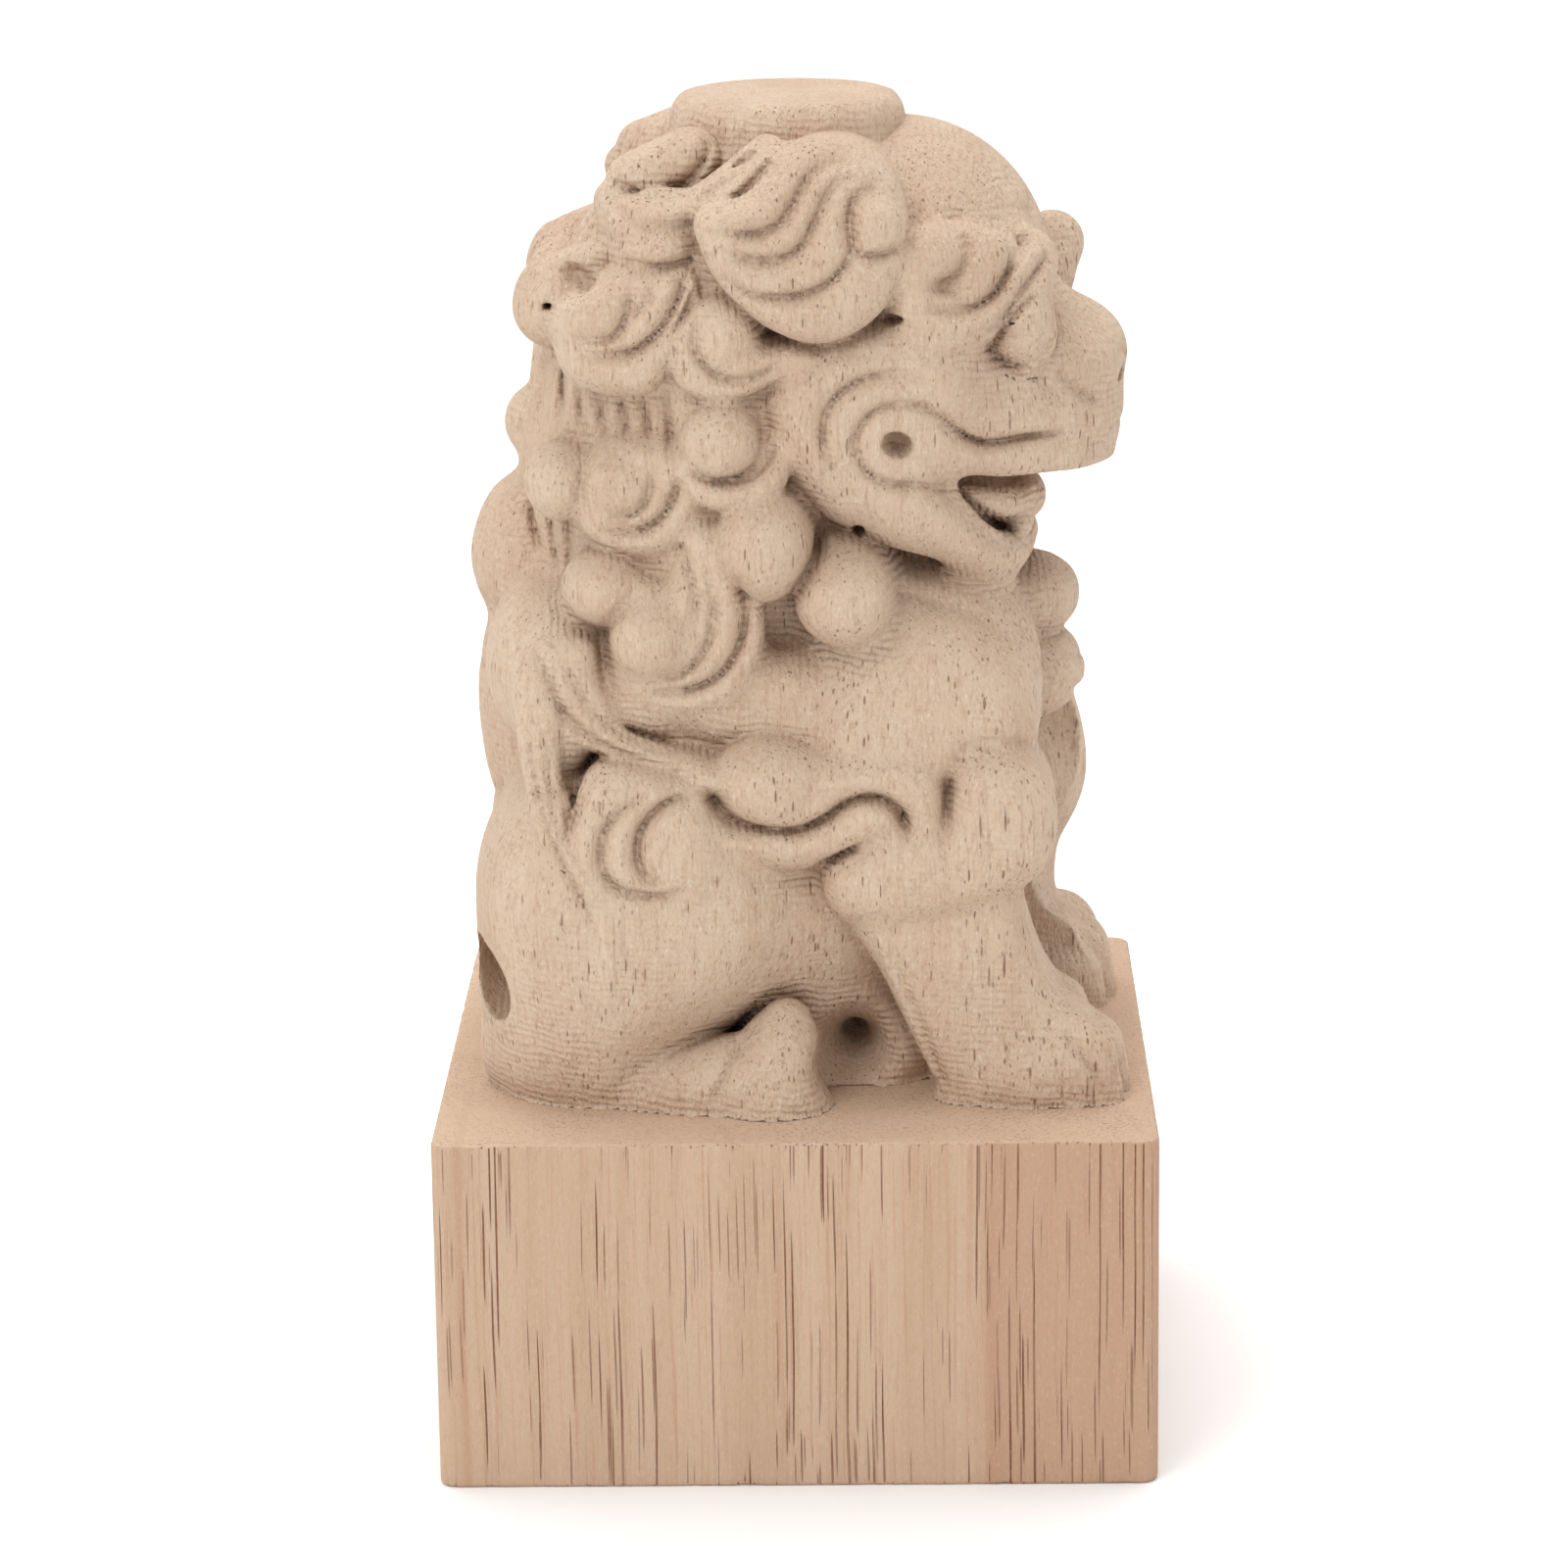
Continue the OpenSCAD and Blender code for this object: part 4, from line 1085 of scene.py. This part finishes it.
def makePad():
    p = padLook
    rows = [(0.0, p["bottom"])]
    shoulder = p["top"] - p["rim"]
    for z in np.linspace(p["bottom"], shoulder, 24):
        fall = (shoulder - z) / (shoulder - p["foot"])
        rows.append((p["radius"] + p["flare"] * min(max(fall, 0), 1) ** 2, z))
    for a in np.linspace(0, pi / 2, 12)[1:]:
        rows.append((p["flat"] + (p["radius"] - p["flat"]) * cos(a), shoulder + p["rim"] * sin(a)))
    for r in np.linspace(p["flat"], 0, 18)[1:]:
        rows.append((r, p["top"]))
    around = np.linspace(0, 2 * pi, 181)[:-1]
    ways = np.column_stack([np.cos(around), np.sin(around)])
    count = len(around)
    points = np.vstack([np.column_stack([max(r, 0.02) * ways, np.full(count, z)]) for r, z in rows])
    wobble = ripple(points, np.array([9.0, 9.0, 5.0]), 21) * 0.10
    wobble = wobble + ripple(points, np.array([2.6, 2.6, 6.0]), 22) * 0.04
    side = (points[:, 2] < p["top"] - 0.02) & (points[:, 2] > p["bottom"] + 0.02)
    points[:, :2] *= 1 + (wobble * side / p["radius"])[:, None]
    points = points * mm + (0, 0, plinthTop)
    a = np.arange(count)
    b = (a + 1) % count
    starts = np.arange(len(rows) - 1) * count
    faces = np.vstack([np.column_stack([a, b, b + count, a + count]) + first for first in starts])
    # painted shade where the skirt meets the crown, passed in as the hollow value
    low = np.clip((p["foot"] + 0.8 - (points[:, 2] - plinthTop) / mm) / 3, 0, 1) * 0.3
    piece = makeMesh("head_pad_wood", points, faces, None, low)
    piece.data.materials.append(carvedWood)
    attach(piece, "root")
    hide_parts("head_pad")


makePad()
print("pad made")


# camera, floor and light
view = {
    "place": (9.775 * mm, -617.766 * mm, 232.619 * mm),
    "heading": -0.018,      # radians, to the right of +Y
    "dip": 0.257,
    "tilt": -0.013,
    "lens": 127.56,
}


def makeCamera():
    head, dip, tilt = view["heading"], view["dip"], view["tilt"]
    ahead = Vector((sin(head) * cos(dip), cos(head) * cos(dip), -sin(dip)))
    right = Vector((cos(head), -sin(head), 0))
    up = right.cross(ahead)
    right2 = right * cos(tilt) + up * sin(tilt)
    up2 = up * cos(tilt) - right * sin(tilt)
    turn = Matrix((right2, up2, -ahead)).transposed()
    lens = bpy.data.cameras.new("camera")
    lens.lens = view["lens"]
    lens.sensor_width = 36
    camera = bpy.data.objects.new("camera", lens)
    camera.matrix_world = Matrix.Translation(view["place"]) @ turn.to_4x4()
    bpy.context.scene.collection.objects.link(camera)
    bpy.context.scene.camera = camera


def makeFloor():
    half = 3.0
    corners = [(-half, -half, 0), (half, -half, 0), (half, half, 0), (-half, half, 0)]
    mesh = bpy.data.meshes.new("floor")
    mesh.from_pydata(corners, [], [(0, 1, 2, 3)])
    floor = bpy.data.objects.new("floor", mesh)
    bpy.context.scene.collection.objects.link(floor)
    paper = bpy.data.materials.new("pale floor")
    paper.use_nodes = True
    skin = paper.node_tree.nodes["Principled BSDF"]
    skin.inputs["Base Color"].default_value = (0.96, 0.96, 0.96, 1)
    skin.inputs["Roughness"].default_value = 0.9
    mesh.materials.append(paper)


lightLook = {
    "world": 0.79,
    "lamps": (              # name, place, aim, size, power
        ("key softbox", (-0.35, -0.55, 0.75), (0, 0, 0.09), 0.4, 2.6),
        ("top softbox", (0.0, 0.15, 0.85), (0, 0, 0.08), 0.6, 2.4),
        ("floor softbox", (0, 1.3, 1.2), (0, 1.3, 0), 2.2, 14),
    ),
}


def makeLamp(name, place, aim, size, power):
    lamp = bpy.data.lights.new(name, "AREA")
    lamp.shape = "SQUARE"
    lamp.size = size
    lamp.energy = power
    holder = bpy.data.objects.new(name, lamp)
    way = Vector(aim) - Vector(place)
    holder.matrix_world = Matrix.Translation(place) @ way.to_track_quat("-Z", "Y").to_matrix().to_4x4()
    bpy.context.scene.collection.objects.link(holder)


def makeLight():
    world = bpy.data.worlds.new("studio")
    bpy.context.scene.world = world
    world.use_nodes = True
    world.node_tree.nodes["Background"].inputs[0].default_value = (1, 1, 1, 1)
    world.node_tree.nodes["Background"].inputs[1].default_value = lightLook["world"]
    for lamp in lightLook["lamps"]:
        makeLamp(*lamp)
    bpy.context.scene.view_settings.view_transform = "Standard"


makeCamera()
makeFloor()
makeLight()
